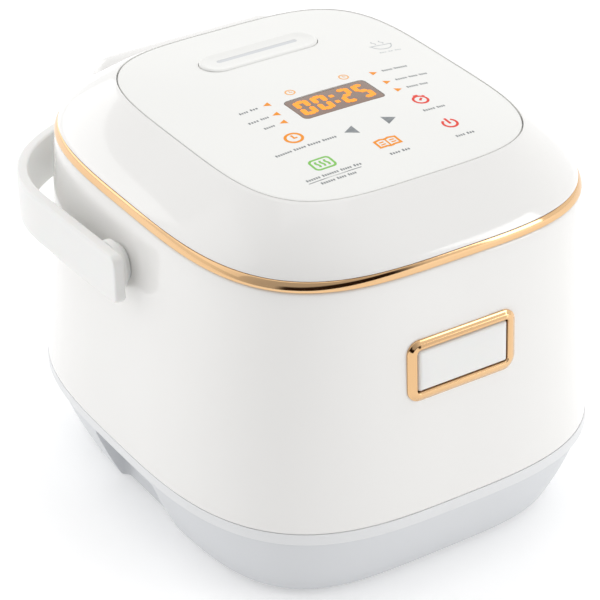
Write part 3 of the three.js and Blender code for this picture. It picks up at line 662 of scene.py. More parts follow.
class Bench:
    """Where shapes become pieces of the object, in the frame's own place."""

    def __init__(self) -> None:
        low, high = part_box("base_tray")
        self.origin = Vector(((low[0] + high[0]) / 2, (low[1] + high[1]) / 2, low[2]))
        self.count = 0

    def place(self, x: float, y: float, z: float) -> Vector:
        """A place in millimetres from the body's middle, in the frame."""
        return self.origin + Vector((x, y, z)) * MM

    def mesh(self, name: str, shape: Shape) -> bpy.types.Object:
        """A Blender mesh object of a shape, in metres, with its faces turned outwards."""
        mesh = bpy.data.meshes.new(name)
        points = shape.points * MM + np.array(self.origin)
        mesh.from_pydata([tuple(p) for p in points], [], shape.faces)
        work = bmesh.new()
        work.from_mesh(mesh)
        bmesh.ops.remove_doubles(work, verts=work.verts, dist=1e-7)
        bmesh.ops.recalc_face_normals(work, faces=work.faces)
        work.to_mesh(mesh)
        work.free()
        result = bpy.data.objects.new(name, mesh)
        bpy.context.scene.collection.objects.link(result)
        return result

    def carve(self, target: bpy.types.Object, cutters: Sequence[Union[Shape, bpy.types.Object]]) -> None:
        """Cuts shapes, or scratch objects, out of a piece, one after another."""
        for number, cutter in enumerate(cutters):
            tool = self.mesh(f"cutter_{number}", cutter) if isinstance(cutter, Shape) else cutter
            modifier = target.modifiers.new("cut", "BOOLEAN")
            modifier.operation = "DIFFERENCE"
            modifier.solver = "EXACT"
            modifier.object = tool
            self.apply(target)
            bpy.data.objects.remove(tool)

    def apply(self, target: bpy.types.Object) -> None:
        """Writes a piece's modifiers into its mesh."""
        bpy.context.view_layer.update()
        evaluated = target.evaluated_get(bpy.context.evaluated_depsgraph_get())
        mesh = bpy.data.meshes.new_from_object(evaluated)
        target.modifiers.clear()
        target.data = mesh

    def shade(self, target: bpy.types.Object, sharp: float = SHARP) -> None:
        """Smooth shading with crisp edges where the surface really turns."""
        work = bmesh.new()
        work.from_mesh(target.data)
        for face in work.faces:
            face.smooth = True
        for edge in work.edges:
            edge.smooth = len(edge.link_faces) == 2 and edge.calc_face_angle(0.0) < sharp
        work.to_mesh(target.data)
        work.free()
        weighted = target.modifiers.new("even_normals", "WEIGHTED_NORMAL")
        weighted.keep_sharp = True
        weighted.weight = 60

    def piece(
        self,
        name: str,
        shape: Shape,
        finish: Finishes,
        body: str,
        slot: str,
        stands_for: Sequence[str] = (),
        cuts: Sequence[Union[Shape, bpy.types.Object]] = (),
        soften: float = 0.0,
    ) -> bpy.types.Object:
        """Makes one piece of the object.

        Args:
            name: the piece's name.
            shape: its form.
            finish: what it is made of.
            body: the frame's body that it moves with.
            slot: the record's material slot, empty for printed marks; not used.
            stands_for: the frame's nodes that it replaces.
            cuts: shapes cut out of it.
            soften: radius in millimetres given to the cut edges.

        Returns:
            The Blender object.
        """
        result = self.mesh(name, shape)
        self.carve(result, cuts)
        if soften > 0:
            add_bevel(result, soften, 3, 48)
            self.apply(result)
        self.shade(result)
        result.data.materials.clear()
        result.data.materials.append(material_of(finish))
        for polygon in result.data.polygons:
            polygon.material_index = 0
        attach(result, body)
        if stands_for:
            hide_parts(*stands_for)
        self.count += 1
        LOG.info("%s: %d faces, on %s", name, len(result.data.polygons), body)
        return result


# ------------------------------------------------------------------ the cooker's outer form


@dataclass(frozen=True)
class Casing:
    """The outline that the mouldings share, from the base's lower edge up to the crowned panel.

    It also keeps the places that more than one assembly needs.
    """

    base: tuple[Level, ...] = (
        Level(0, 102.1, 118.4, 3.85), Level(22, 112.6, 129.0, 3.55), Level(42.3, 120.4, 136.9, 3.25),
    )
    collar: tuple[Level, ...] = (Level(42.7, 122.9, 139.4, 3.2), Level(48.7, 123.0, 138.8, 3.19))
    shell: tuple[Level, ...] = (
        Level(49.1, 123.0, 138.5, 3.18), Level(109.3, 117.6, 133.0, 3.3), Level(176.5, 112.4, 129.2, 3.46),
    )
    shell_rim: Level = Level(181.0, 111.2, 128.0, 3.46)
    trim: tuple[Level, ...] = (Level(181.6, 112.0, 128.9, 3.48), Level(186.5, 110.6, 127.9, 3.4))
    panel: Level = Level(213.4, 82.9, 96.5, 4.04, -3.2)
    lid_bulge: float = 1.3
    crown: float = 5.0
    wall: float = 2.6
    gap: float = 0.35
    pot_y: float = -4.0
    vent_y: float = 51.5
    vent_size: Point2 = (70.0, 21.0)
    window_at: Point2 = (2.0, -16.5)
    pivot_z: float = 152.6

    def base_side(self, z: float) -> Level:
        """The base's outline at a height."""
        return curve_through(self.base, z)

    def collar_side(self, z: float) -> Level:
        """The collar's outline at a height."""
        return curve_through(self.collar, z)

    def shell_side(self, z: float) -> Level:
        """The side wall's outline at a height; it turns in a little under the trim."""
        top = self.shell[-1]
        return curve_through(self.shell, z) if z <= top.z else curve_through((top, self.shell_rim), z)

    def trim_side(self, z: float) -> Level:
        """The polished ring's outline at a height."""
        return curve_through(self.trim, z)

    def lid_side(self, t: float, by: float = 0.0) -> Level:
        """The lid's slightly convex side, t from 0 at the ring to 1 at the panel."""
        low, high, spread = self.trim[1], self.panel, t**self.lid_bulge

        def mix(start: float, end: float) -> float:
            """A measure between the ring's and the panel's."""
            return start + (end - start) * spread

        height = low.z + (high.z - low.z) * t
        a, b = mix(low.a, high.a) - by, mix(low.b, high.b) - by
        return Level(height, a, b, mix(low.n, high.n), mix(0, high.y))

    @property
    def crown_rim(self) -> Level:
        """The crowned panel's edge, a narrow joint inside the lid's slope."""
        return self.panel.inset(0.9)

    def crown_row(self, share: float, depth: float = 0.0) -> Level:
        """A ring of the crowned panel: its share of the rim, and its depth under the crown."""
        rim = self.crown_rim
        height = rim.z + self.crown * (1 - share**2) - depth
        return Level(height, rim.a * share, rim.b * share, rim.n, rim.y)

    def crown_height(self, x: float, y: float) -> float:
        """Height of the crowned panel over a place."""
        rim = self.crown_rim
        share = (abs(x / rim.a) ** rim.n + abs((y - rim.y) / rim.b) ** rim.n) ** (1 / rim.n)
        return rim.z + self.crown * (1 - share**2)


CASING = Casing()


def steps_between(start: float, end: float, most: float) -> list[float]:
    """Evenly spaced values from start to end, no further apart than most."""
    count = max(1, math.ceil(abs(end - start) / most))
    return [start + (end - start) * i / count for i in range(count + 1)]


# ------------------------------------------------------------------ base


@dataclass
class Base:
    """Inset tray with hand recesses and cooling slots, its collar, feet and screws."""

    bench: Bench
    floor: float = 3.2
    edge: float = 2.4
    recess_half: float = 30.0
    recess_top: float = 36.5
    recess_face: float = 98.4
    foot_at: Point2 = (70.0, 86.0)
    foot_radius: float = 8.5
    foot_drop: float = 3.0
    foot_seat: float = 1.6
    screw_at: Point2 = (52.0, 98.0)
    screw_head: float = 3.4
    slot_pitch: float = 14.0
    slot_width: float = 3.5
    slot_half: float = 16.0
    slot_rows: int = 6

    def corners(self, at: Point2) -> list[tuple[str, float, float]]:
        """The same place in all four corners, each with its name."""
        names = {(-1, -1): "front_left", (1, -1): "front_right", (-1, 1): "rear_left", (1, 1): "rear_right"}
        return [(name, sx * at[0], sy * at[1]) for (sx, sy), name in names.items()]

    def hand_room(self, side: int, by: float = 0.0) -> Shape:
        """The space of one hand recess, grown by a wall."""
        near, far = self.recess_face - by, 140.0
        low = (near if side > 0 else -far, -self.recess_half - by, -5.0)
        high = (far if side > 0 else -near, self.recess_half + by, self.recess_top + by)
        return brick(low, high, 3.0)

    def tray(self) -> None:
        """The tray: a drafted tub with two pockets in its sides."""
        top, wall = CASING.base[-1].z, CASING.wall
        side = [(0.0, z) for z in steps_between(self.edge + 1, top - 1, 4.5)]
        outer = rounded([(40, 0), (0, 0, self.edge), (0, self.edge + 0.5)], closed=False)[:-1] + side
        outer += [(0.4, top - 0.2), (0.9, top)]
        rings = [Level(0, 0, 0)] + [CASING.base_side(z).inset(i, z) for i, z in outer] + [Level(top, 0, 0)]
        room_side = [CASING.base_side(z).inset(wall, z) for z in steps_between(self.floor, top + 1, 6)]
        room_rings = [Level(self.floor, 0, 0)] + room_side + [Level(top + 1, 0, 0)]
        room = self.bench.mesh("tray_room", loft(room_rings))
        self.bench.carve(room, [self.hand_room(-1, wall), self.hand_room(1, wall)])
        cuts: list[Union[Shape, bpy.types.Object]] = [self.hand_room(-1), self.hand_room(1), room]
        for side_x in (-26, 26):
            for row in range(self.slot_rows):
                front = -40 + row * self.slot_pitch
                low = (side_x - self.slot_half, front, -1)
                cuts.append(brick(low, (side_x + self.slot_half, front + self.slot_width, 4.5)))
        foot_hole = self.foot_radius + CASING.gap
        for _, x, y in self.corners(self.foot_at):
            seat = [(0, -1), (foot_hole, -1), (foot_hole, self.foot_seat), (0, self.foot_seat)]
            cuts.append(turned(seat, x, y, 40))
        for _, x, y in self.corners(self.screw_at):
            cuts.append(turned([(0, -1), (3.9, -1), (3.9, 1.8), (2, 1.8), (2, 6), (0, 6)], x, y, 32))
        self.bench.piece("base_tray_moulding", loft(rings), Finishes.PALE_GREY_PP, "base", "base_grey",
                         ["base_tray"], cuts, soften=0.5)

    def collar(self) -> None:
        """The thin, lighter band over the tray."""
        low, high = (level.z for level in CASING.collar)
        profile = rounded([(0, low, 0.8), (0, high + 0.1, 0.15), (3.4, high + 0.1), (3.4, low)])
        self.bench.piece("base_collar_band", along_wall(CASING.collar_side, profile), Finishes.COLLAR_ABS,
                         "base", "collar_grey", ["base_collar"])

    def feet(self) -> None:
        """Four rubber pads with rounded soles and a shallow ring moulded in each."""
        low, r = -self.foot_drop, self.foot_radius
        profile = rounded([(0, low + 0.3), (2.2, low + 0.3, 0.2), (2.6, low, 0.2), (r - 0.2, low, 0.9),
                           (r, 1.2, 0.3), (0, 1.2)], closed=False)
        for name, x, y in self.corners(self.foot_at):
            self.bench.piece(f"foot_pad_{name}", turned(profile, x, y, 48), Finishes.FOOT_RUBBER, "base",
                             "foot_rubber", [f"foot_{name}"])

    def screws(self) -> None:
        """Four pan-head screws with crossed slots, seen from below."""
        head, shank = self.screw_head, 1.6
        profile = rounded([(0, 0.3), (head, 0.3, 0.5), (head, 1.5), (shank, 1.5), (shank, 13.6, 0.4),
                           (0, 15)], closed=False)
        for name, x, y in self.corners(self.screw_at):
            cross = [brick((-2, -0.35, 0), (2, 0.35, 1)), brick((-0.35, -2, 0), (0.35, 2, 1))]
            self.bench.piece(f"tray_screw_{name}", turned(profile, x, y, 32), Finishes.SPRING_STEEL, "base",
                             "spring_steel", [f"base_screw_{name}"], [arm.shifted(x, y, 0) for arm in cross])

    def build(self) -> None:
        """Builds every piece of the base."""
        self.tray()
        self.collar()
        self.feet()
        self.screws()


# ------------------------------------------------------------------ latch


@dataclass
class Latch:
    """The plated frame on the front face, its button, and the lever behind them."""

    bench: Bench
    height: float = 128.4
    tilt: float = math.radians(3.2363)
    width: float = 54.4
    tall: float = 23.6
    inner_corner: float = 2.0
    border: float = 5.0
    proud: float = 2.6
    sleeve: float = 11.0
    sleeve_wall: float = 3.0
    face_y: float = 131.7
    button_gap: float = 0.55
    lever_pin: Point2 = (23.5, 22.0)

    def bent(self, shape: Shape) -> Shape:
        """A shape drawn square, with outwards towards -Y, bent and tilted to the front face."""
        level = CASING.shell_side(self.height)
        share = np.minimum(np.abs(shape.points[:, 0]) / level.a, 1)
        drop = level.b * (1 - (1 - share**level.n) ** (1 / level.n))
        points = shape.points + np.stack([np.zeros_like(drop), drop, np.zeros_like(drop)], axis=1)
        return self.placed(Shape(points, shape.faces))

    def placed(self, shape: Shape) -> Shape:
        """A shape drawn square, tilted and moved to the front face."""
        place = Matrix.Translation((0, -self.face_y, self.height)) @ Matrix.Rotation(-self.tilt, 4, "X")
        return shape.moved(place)

    def frame_ring(self, grow: float, out: float) -> Ring:
        """A rounded rectangle round the button's opening, grown and stood off the face."""
        outline = rounded_rectangle(self.width + 2 * grow, self.tall + 2 * grow, self.inner_corner + grow)
        flat = np.array(outline)
        return np.stack([flat[:, 0], np.full(len(flat), -out), flat[:, 1]], axis=1)

    def opening(self) -> Shape:
        """The cut through the side wall that the frame's sleeve passes through."""
        grow = self.sleeve_wall + CASING.gap
        return self.placed(skin([self.frame_ring(grow, 10), self.frame_ring(grow, -8)]))

    def bezel(self) -> None:
        """The frame: a low outer edge, a wide slope up to a rounded crest, and a wall down to the button."""
        b, p, wall = self.border, self.proud, self.sleeve_wall
        profile = rounded([
            (b, -0.15), (b, p - 1.75, 0.35), (b - 0.75, p - 1.3, 0.3), (3, p - 0.4, 1.0), (1.5, p, 0.7),
            (0.5, p - 0.2, 0.3), (0, p - 1, 0.3), (0, -self.sleeve), (wall, -self.sleeve), (wall, -0.15),
        ], steps=6)
        rings = [self.frame_ring(grow, out) for grow, out in profile]
        self.bench.piece("latch_frame", self.bent(skin(rings, loop=True)), Finishes.ROSE_GOLD, "base",
                         "rose_gold", ["button_bezel"])

    def button(self) -> None:
        """The button: soft edges, a faintly crowned face, and a stem behind."""
        side, lip, edge_in, edge_out = -self.button_gap, 0.3, 2.3, 2.2
        profile = [(side, -6.8), (side, lip)]
        profile += [(side - edge_in * (1 - math.cos(t)), lip + edge_out * math.sin(t))
                    for t in np.linspace(0.15, math.pi / 2, 8)]
        profile += [(-5.0, 2.62), (-8.0, 2.72)]
        face = skin([self.frame_ring(grow, out) for grow, out in profile])
        stem = brick((-3.5, 6, -3.5), (3.5, 17, 3.5), 0.6)
        self.bench.piece("latch_push_button", self.bent(face), Finishes.SATIN_PP, "button", "satin_white",
                         ["latch_button"])
        self.bench.piece("latch_button_stem", self.placed(stem), Finishes.SATIN_PP, "button", "satin_white")

    def mechanism(self) -> None:
        """The return spring, the rocking lever and its pin."""
        wound = coil(6.2, 0.6, 7.2, 4)
        laid = wound.moved(Matrix.Rotation(math.radians(-90), 4, "X")).shifted(0, 7.4, 0)
        pushed = self.bench.piece("latch_return_coil", self.placed(laid), Finishes.SPRING_STEEL, "base",
                                  "spring_steel", ["latch_spring"])
        inwards = Vector((0, math.cos(self.tilt), -math.sin(self.tilt)))
        seat = self.bench.place(0, -self.face_y, self.height) + inwards * 14.6 * MM
        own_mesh(pushed)
        lever = merged([
            brick((-9, 17.6, -9), (9, 20.4, 21), 0.8), bar_x(5, -15.5, 15.5, *self.lever_pin, 0.6),
            brick((-5, 20.2, 23), (5, 23, 53), 0.7), brick((-5, 20.6, 50.6), (5, 24, 53), 0.5),
        ])
        self.bench.piece("latch_rocker", self.placed(lever), Finishes.FILLED_NYLON, "lever", "dark_plastic",
                         ["latch_lever"])
        pin = self.placed(bar_x(2, -21, 21, *self.lever_pin, 0.4))
        self.bench.piece("latch_rocker_pin", pin, Finishes.SPRING_STEEL, "base", "spring_steel",
                         ["latch_pin"])

    def build(self) -> None:
        """Builds every piece of the latch."""
        self.bezel()
        self.button()
        self.mechanism()


# ------------------------------------------------------------------ hinge


@dataclass
class HingeBarrel:
    """The lid's long rounded hump that turns on two steel ears."""

    bench: Bench
    y: float = 121.0
    z: float = 184.0
    radius: float = 14.0
    half: float = 60.0
    pin_radius: float = 2.15

    def hump(self, margin: float = 0.0) -> Shape:
        """The hump's outside, a bar with domed ends, grown by a margin."""
        r, reach = self.radius + margin, self.half - self.radius
        dome = [(r * math.sin(t), r * math.cos(t)) for t in np.linspace(0, math.pi / 2, 15)]
        profile = [(radius, -reach - along) for radius, along in dome]
        profile += [(r, x) for x in steps_between(-reach, reach, 12)[1:-1]]
        profile += [(radius, reach + along) for radius, along in reversed(dome)]
        return turned(profile, around=72).along_x().shifted(0, self.y, self.z)

    def room(self) -> list[Shape]:
        """The space that the hump and its pin turn in."""
        return [self.hump(0.6), bar_x(4.6, -self.half - 14, self.half + 14, self.y, self.z, around=40)]

    def behind(self, start: float, end: float, reach: float) -> Shape:
        """A slot open below and behind, between two x values."""
        return brick((start, self.y - reach, self.z - 20), (end, self.y + 20, self.z + reach), 0.8)

    def build(self) -> None:
        """Builds the hump, its pin and the lid's spring."""
        cuts = [self.behind(side * 30 - 2.8, side * 30 + 2.8, 5.2) for side in (-1, 1)]
        cuts += [self.behind(-18, 18, 8), bar_x(2.6, -49, 49, self.y, self.z, around=40)]
        self.bench.piece("hinge_hump", self.hump(), Finishes.POLISHED_ABS, "lid", "gloss_white",
                         ["hinge_cover"], cuts, soften=0.5)
        pin = bar_x(self.pin_radius, -48, 48, self.y, self.z, 0.5)
        self.bench.piece("hinge_axle", pin, Finishes.SPRING_STEEL, "base", "spring_steel", ["hinge_pin"])
        wound = coil(5.6, 0.9, 30, 7).moved(Matrix.Rotation(math.radians(90), 4, "Y"))
        self.bench.piece("lid_torsion_coil", wound.shifted(-15, self.y, self.z), Finishes.SPRING_STEEL,
                         "base", "spring_steel", ["lid_spring"])


# ------------------------------------------------------------------ body


@dataclass
class BodyShell:
    """The tall drafted side wall and the deck round the pot."""

    bench: Bench
    latch: Latch
    hinge: HingeBarrel
    pivot_hole: float = 9.35
    deck_top: float = 179.0

    def side_wall(self) -> None:
        """The side wall with its openings."""
        low, high, wall = CASING.shell[0].z, CASING.shell_rim.z, CASING.wall
        outer = [(0.5, low - 0.12), (0.15, low - 0.05), (0.03, low + 0.2)]
        outer += [(0.0, z) for z in steps_between(low + 1.2, high - 1.4, 5)]
        outer += [(0.1, high - 0.7), (0.4, high - 0.2), (1.0, high)]
        inner = [(wall, high)] + [(wall, z) for z in steps_between(high - 3, low + 2, 12)]
        inner += [(wall, low - 0.12)]
        cuts: list[Union[Shape, bpy.types.Object]] = [self.latch.opening()]
        for x in (-112, 112):
            cuts.append(bar_x(self.pivot_hole, x - 14, x + 14, 0, CASING.pivot_z, around=48))
        cup_way = brick((-29.6, 112, 93.4), (29.6, 150, 128.6), 1.2)
        inlet_way = brick((-18.35, 112, 55.65), (18.35, 150, 84.35), 1.2)
        cuts += [cup_way, inlet_way] + self.hinge.room()
        self.bench.piece("side_wall", along_wall(CASING.shell_side, outer + inner), Finishes.POLISHED_ABS,
                         "base", "gloss_white", ["outer_shell"], cuts, soften=0.35)

    def deck(self) -> None:
        """The deck that closes the body's top and carries the pot's rim."""
        outer, top = CASING.shell_rim.inset(CASING.wall + CASING.gap), self.deck_top
        rings = [outer.inset(by, z) for by, z in ((0.6, 174), (0, 174.6), (0, 178.3), (0.7, top))]
        seats = [(95.2, top), (94.3, 178.7), (94, 178.2), (94, 177.4), (92.2, 177.4), (91.7, 176.9),
                 (91.7, 174)]
        rings += [Level(z, radius, radius, 2.02, CASING.pot_y) for radius, z in seats]
        lever_way = brick((-16, -119, 170), (16, -101.5, 182), 1)
        drip_hole = brick((-8, 98, 170), (8, 103, 182), 1)
        self.bench.piece("pot_deck", loft(rings, loop=True), Finishes.SATIN_PP, "base", "satin_white",
                         ["upper_frame"], [lever_way, drip_hole] + self.hinge.room(), soften=0.4)

    def build(self) -> None:
        """Builds the side wall and the deck."""
        self.side_wall()
        self.deck()


@dataclass
class CookingWell:
    """The removable pot, the well round it, and the heater and sensor under it."""

    bench: Bench
    y: float = CASING.pot_y
    radius: float = 88.0
    bottom: float = 60.0
    rim: float = 179.6
    bend: float = 22.0
    thick: float = 2.0
    level_marks: tuple[float, ...] = (150.0, 130.0, 110.0)
    plate_top: float = 59.6
    tube_at: Point2 = (54.0, 47.25)
    tube_radius: float = 3.4
    coil_seat: float = 34.2

    def arc(self, by: float) -> list[Point2]:
        """The rounded bottom corner, moved in by a wall, from the bottom up."""
        x, z, r = self.radius - self.bend, self.bottom + self.bend, self.bend - by
        return [(x + r * math.sin(t), z - r * math.cos(t)) for t in np.linspace(0, math.pi / 2, 10)]

    def pot(self) -> None:
        """The pot: non-stick inside, with raised level rings, and a rolled rim."""
        r, wall, top = self.radius, self.thick, self.rim
        outside = [(0, self.bottom)] + self.arc(0) + [(r, top - 4), (r, top - 1.8), (91.6, top - 1.8)]
        rim = [(92.9, top - 1.5), (93.2, top - 0.9), (92.9, top - 0.3), (92.2, top)]
        inside = [(r - 0.9, top), (r - wall + 0.2, top - 0.4), (r - wall, top - 1.2)]
        for level in self.level_marks:
            for raised, away in ((0, 0.7), (0.25, 0.3), (0.25, -0.3), (0, -0.7)):
                inside.append((r - wall - raised, level + away))
        inside += list(reversed(self.arc(wall))) + [(0, self.bottom + wall)]
        self.bench.piece("cooking_pot", turned(outside + rim + inside, 0, self.y, 128), Finishes.NON_STICK,
                         "base", "non_stick", ["inner_pot"])

    def well(self) -> None:
        """The pressed steel well."""
        profile = rounded([(91.2, 47.2, 1), (91.2, 173.6, 0.8), (95.2, 173.6), (95.2, 172.4),
                           (92.4, 172.4, 0.5), (92.4, 46, 2), (82.5, 46), (82.5, 47.2)])
        self.bench.piece("steel_well", turned(profile, 0, self.y, 96), Finishes.ROLLED_STEEL, "base",
                         "steel_sheet", ["pot_well"])

    def heater(self) -> None:
        """The cast plate with machined rings, and the tubular element under it."""
        high, groove = self.plate_top, 0.25
        rings = enumerate(np.linspace(76.5, 17, 26))
        top = [(radius, high - (groove if i % 2 else 0)) for i, radius in rings]
        profile = [(15, 51), (76, 51), (80, 54), (80, 56.6), (77, high)] + top + [(15, high)]
        self.bench.piece("cast_hot_plate", turned(profile, 0, self.y, 96), Finishes.CAST_ALUMINIUM, "base",
                         "plate_aluminium", ["heating_plate"])
        out, up = self.tube_at
        tube = [(out + x, up + z) for x, z in circle(self.tube_radius, 16)]
        self.bench.piece("tube_element", turned(tube, 0, self.y, 96), Finishes.ROLLED_STEEL, "base",
                         "steel_sheet", ["heating_element"])

    def sensor(self) -> None:
        """The sprung sensor cup and its coil."""
        profile = rounded([(0, 50), (9.5, 50), (9.5, 47.4), (11.5, 47.4, 0.4), (12, 58.6, 0.8),
                           (11, 59.65, 0.3), (0, 59.65)], closed=False)
        self.bench.piece("sensor_cup", turned(profile, 0, self.y, 64), Finishes.SPUN_ALUMINIUM, "sensor",
                         "plate_aluminium", ["thermal_sensor"])
        wound = self.bench.piece("sensor_coil", coil(6, 0.6, 15.4, 5).shifted(0, self.y, self.coil_seat),
                                 Finishes.SPRING_STEEL, "base", "spring_steel", ["sensor_spring"])
        seat = self.bench.place(0, self.y, self.coil_seat)
        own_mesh(wound)

    def build(self) -> None:
        """Builds the pot and everything under it."""
        self.pot()
        self.well()
        self.heater()
        self.sensor()


# ------------------------------------------------------------------ rear fittings


@dataclass
class RearFittings:
    """The mains inlet and the condensate cup, both at the body's back."""

    bench: Bench
    inlet_low: float = 56.0
    inlet_high: float = 84.0
    back: float = 141.0
    cup_front: float = 106.0
    cup_back: float = 139.0

    def inlet(self) -> None:
        """The socket block with a softened rim, and three blades."""
        middle = (self.inlet_low + self.inlet_high) / 2
        block = brick((-18, 112, self.inlet_low), (18, self.back, self.inlet_high), 1.2)
        cuts = [brick((-12.5, self.back - 18, middle - 8.5), (12.5, self.back + 4, middle + 8.5), 1.5)]
        blades = {"live": (-7, middle), "earth": (0, middle + 3), "neutral": (7, middle)}
        cuts += [brick((x - 1.4, 111, z - 2.6), (x + 1.4, 130, z + 2.6)) for x, z in blades.values()]
        self.bench.piece("mains_socket", block, Finishes.FILLED_NYLON, "base", "dark_plastic",
                         ["power_inlet"], cuts)
        for name, (x, z) in blades.items():
            blade = brick((x - 1, 107, z - 2.1), (x + 1, 138, z + 2.1), 0.35)
            self.bench.piece(f"socket_blade_{name}", blade, Finishes.STAMPED_BRASS, "base", "contact_brass",
                             [f"inlet_pin_{name}"])

    def cup(self) -> None:
        """The condensate cup: thin walls and a rolled lip."""
        y = (self.cup_front + self.cup_back) / 2

        def ring(by: float, z: float) -> Ring:
            """The cup's outline in plan, moved in by a margin."""
            outline = rounded_rectangle(58 - 2 * by, 33 - 2 * by, 6 - by * 0.7, 8)
            return np.array([(px, py + y, z) for px, py in outline])

        profile = [(2.2, 94), (0.9, 94.3), (0.3, 95), (0, 96.2), (0, 126.8), (0.25, 127.6), (0.9, 128),
                   (1.5, 127.7), (2, 127), (2, 97.5), (2.6, 96.4), (4, 96)]
        self.bench.piece("drip_cup", skin([ring(by, z) for by, z in profile]), Finishes.CLOUDY_PP, "cup",
                         "cup_plastic", ["condensate_cup"])

    def build(self) -> None:
        """Builds the inlet and the cup."""
        self.inlet()
        self.cup()


# ------------------------------------------------------------------ lid


@dataclass
class Lid:
    """The lid: polished ring, sloping side, crowned panel, and the sealed underside."""

    bench: Bench
    hinge: HingeBarrel
    window_size: Point2 = (49.0, 22.0)
    panel_thick: float = 2.6
    plate_low: float = 180.8
    plate_high: float = 181.9
    plate_radius: float = 83.4

    def ring(self) -> None:
        """The plated ring, rounded like a bead between two narrow joints."""
        low, high = (level.z for level in CASING.trim)
        edge = [(0.6, 0.0), (0.18, 0.1), (0.0, 0.4), (-0.16, 1.4)]
        profile = [(by, low + up) for by, up in edge] + [(-0.2, (low + high) / 2)]
        profile += [(by, high - down) for by, down in reversed(edge)] + [(3, high), (3, low)]
        shape = along_wall(CASING.trim_side, profile)
        self.bench.piece("polished_ring", shape, Finishes.ROSE_GOLD, "lid", "rose_gold", ["trim_ring"],
                         [self.hinge.hump(CASING.gap)])

    def side(self) -> None:
        """The sloping side, with a rounded shoulder and a ledge that the panel sits in."""
        gap, wall, panel = CASING.gap, CASING.wall, CASING.panel

        def side_ring(t: float, by: float) -> Level:
            """The slope's outline, its lowest one lifted off the polished ring."""
            level = CASING.lid_side(t, by)
            return replace(level, z=level.z + (gap if t == 0 else 0))

        rings = [side_ring(0, 0.7), side_ring(0.012, 0.15)]
        rings += [side_ring(t, 0) for t in steps_between(0.04, 0.965, 0.06)]
        shoulder = [(0.12, 213.2), (0.3, 213.38), (0.45, 213.3), (0.5, 213.0)]
        ledge = [(0.5, 210.2), (10, 210.2), (10, 208)]
        rings += [side_ring(0.985, 0.05).inset(0.05)] + [panel.inset(by, z) for by, z in shoulder + ledge]
        rings += [side_ring(t, wall) for t in (0.72, 0.45, 0.2, 0.0)]
        self.bench.piece("lid_slope", loft(rings, loop=True), Finishes.POLISHED_ABS, "lid", "gloss_white",
                         ["lid_shell"], [self.hinge.hump(gap)])

    def panel(self) -> None:
        """The crowned panel with its window and vent openings."""
        shares = [0.0] + steps_between(0.05, 0.985, 0.04)
        rings = [CASING.crown_row(share) for share in shares]
        rim = CASING.crown_row(1.0)
        rings += [rim.inset(by, rim.z - down) for by, down in ((0.6, 0.02), (0.32, 0.15), (0.2, 0.5))]
        rings += [CASING.crown_row(share, self.panel_thick) for share in (1, 0.8, 0.6, 0.4, 0.2, 0)]
        window = prism(rounded_rectangle(*self.window_size, 3.0), CUT_LOW, CUT_HIGH)
        vent = prism(rounded_rectangle(*CASING.vent_size, 10.4), CUT_LOW, CUT_HIGH)
        cuts = [window.shifted(*CASING.window_at), vent.shifted(0, CASING.vent_y)]
        self.bench.piece("crowned_panel", loft(rings), Finishes.SATIN_FILM, "lid", "panel_white",
                         ["top_panel"], cuts, soften=0.3)

    def underside(self) -> None:
        """The liner, the removable inner lid with its pressed rings, the gasket and the steam cup."""
        outer = CASING.trim[1].inset(3.6)
        levels = [Level(182.4, 0, 0), outer.inset(0.6, 182.4), outer.inset(0, 182.9), outer.inset(0, 183.9),
                  outer.inset(0.6, 184.4), Level(184.4, 0, 0)]
        pipe = turned([(0, 178), (7.2, 178), (7.2, 188), (0, 188)], 0, CASING.vent_y, 40)
        self.bench.piece("lid_underside", loft(levels), Finishes.SATIN_PP, "lid", "satin_white",
                         ["lid_liner"], [pipe, self.hinge.hump(0.6)])
        low, high, edge, pressed = self.plate_low, self.plate_high, self.plate_radius, 0.35
        profile = [(0, low)]
        for radius in (20, 40, 60):
            profile += [(radius + out, low + up) for out, up in ((0, 0), (1, pressed), (3, pressed), (4, 0))]
        profile += [(edge - 0.6, low), (edge, low + 0.4), (edge, high), (0, high)]
        self.bench.piece("inner_lid_disc", turned(profile, 0, CASING.pot_y, 128), Finishes.SPUN_ALUMINIUM,
                         "lid", "plate_aluminium", ["inner_lid_plate"], [pipe])
        gasket = rounded([(83.8, 180.9, 0.2), (86, 179.95, 0.3), (88.4, 180.3, 0.4), (91, 179.95, 0.35),
                          (91.6, 181.9, 0.2), (86, 182), (83.8, 182)])
        self.bench.piece("pot_seal", turned(gasket, 0, CASING.pot_y, 128), Finishes.SILICONE, "lid",
                         "silicone", ["lid_gasket"])
        cup = rounded([(5, 170), (11, 170, 0.8), (11, 178.2, 0.5), (12.5, 180.4, 0.4), (7, 180.4), (7, 172),
                       (5, 172)])
        port = brick((-1.2, -13, 173), (1.2, 13, 177), 0.5).shifted(0, CASING.vent_y)
        self.bench.piece("steam_cup", turned(cup, 0, CASING.vent_y, 64), Finishes.SATIN_PP, "lid",
                         "satin_white", ["steam_valve"], [port])

    def striker(self) -> None:
        """The steel striker with a window for the lever's hook."""
        tab = brick((-10, -104.2, 171), (10, -102.2, 182.05), 0.5)
        window = brick((-6.5, -106, 176.6), (6.5, -100, 180.4), 0.6)
        self.bench.piece("striker_tab", tab, Finishes.ROLLED_STEEL, "lid", "steel_sheet",
                         ["lid_catch"], [window])

    def build(self) -> None:
        """Builds every piece of the lid but its control panel and vent."""
        self.ring()
        self.side()
        self.panel()
        self.underside()
        self.striker()


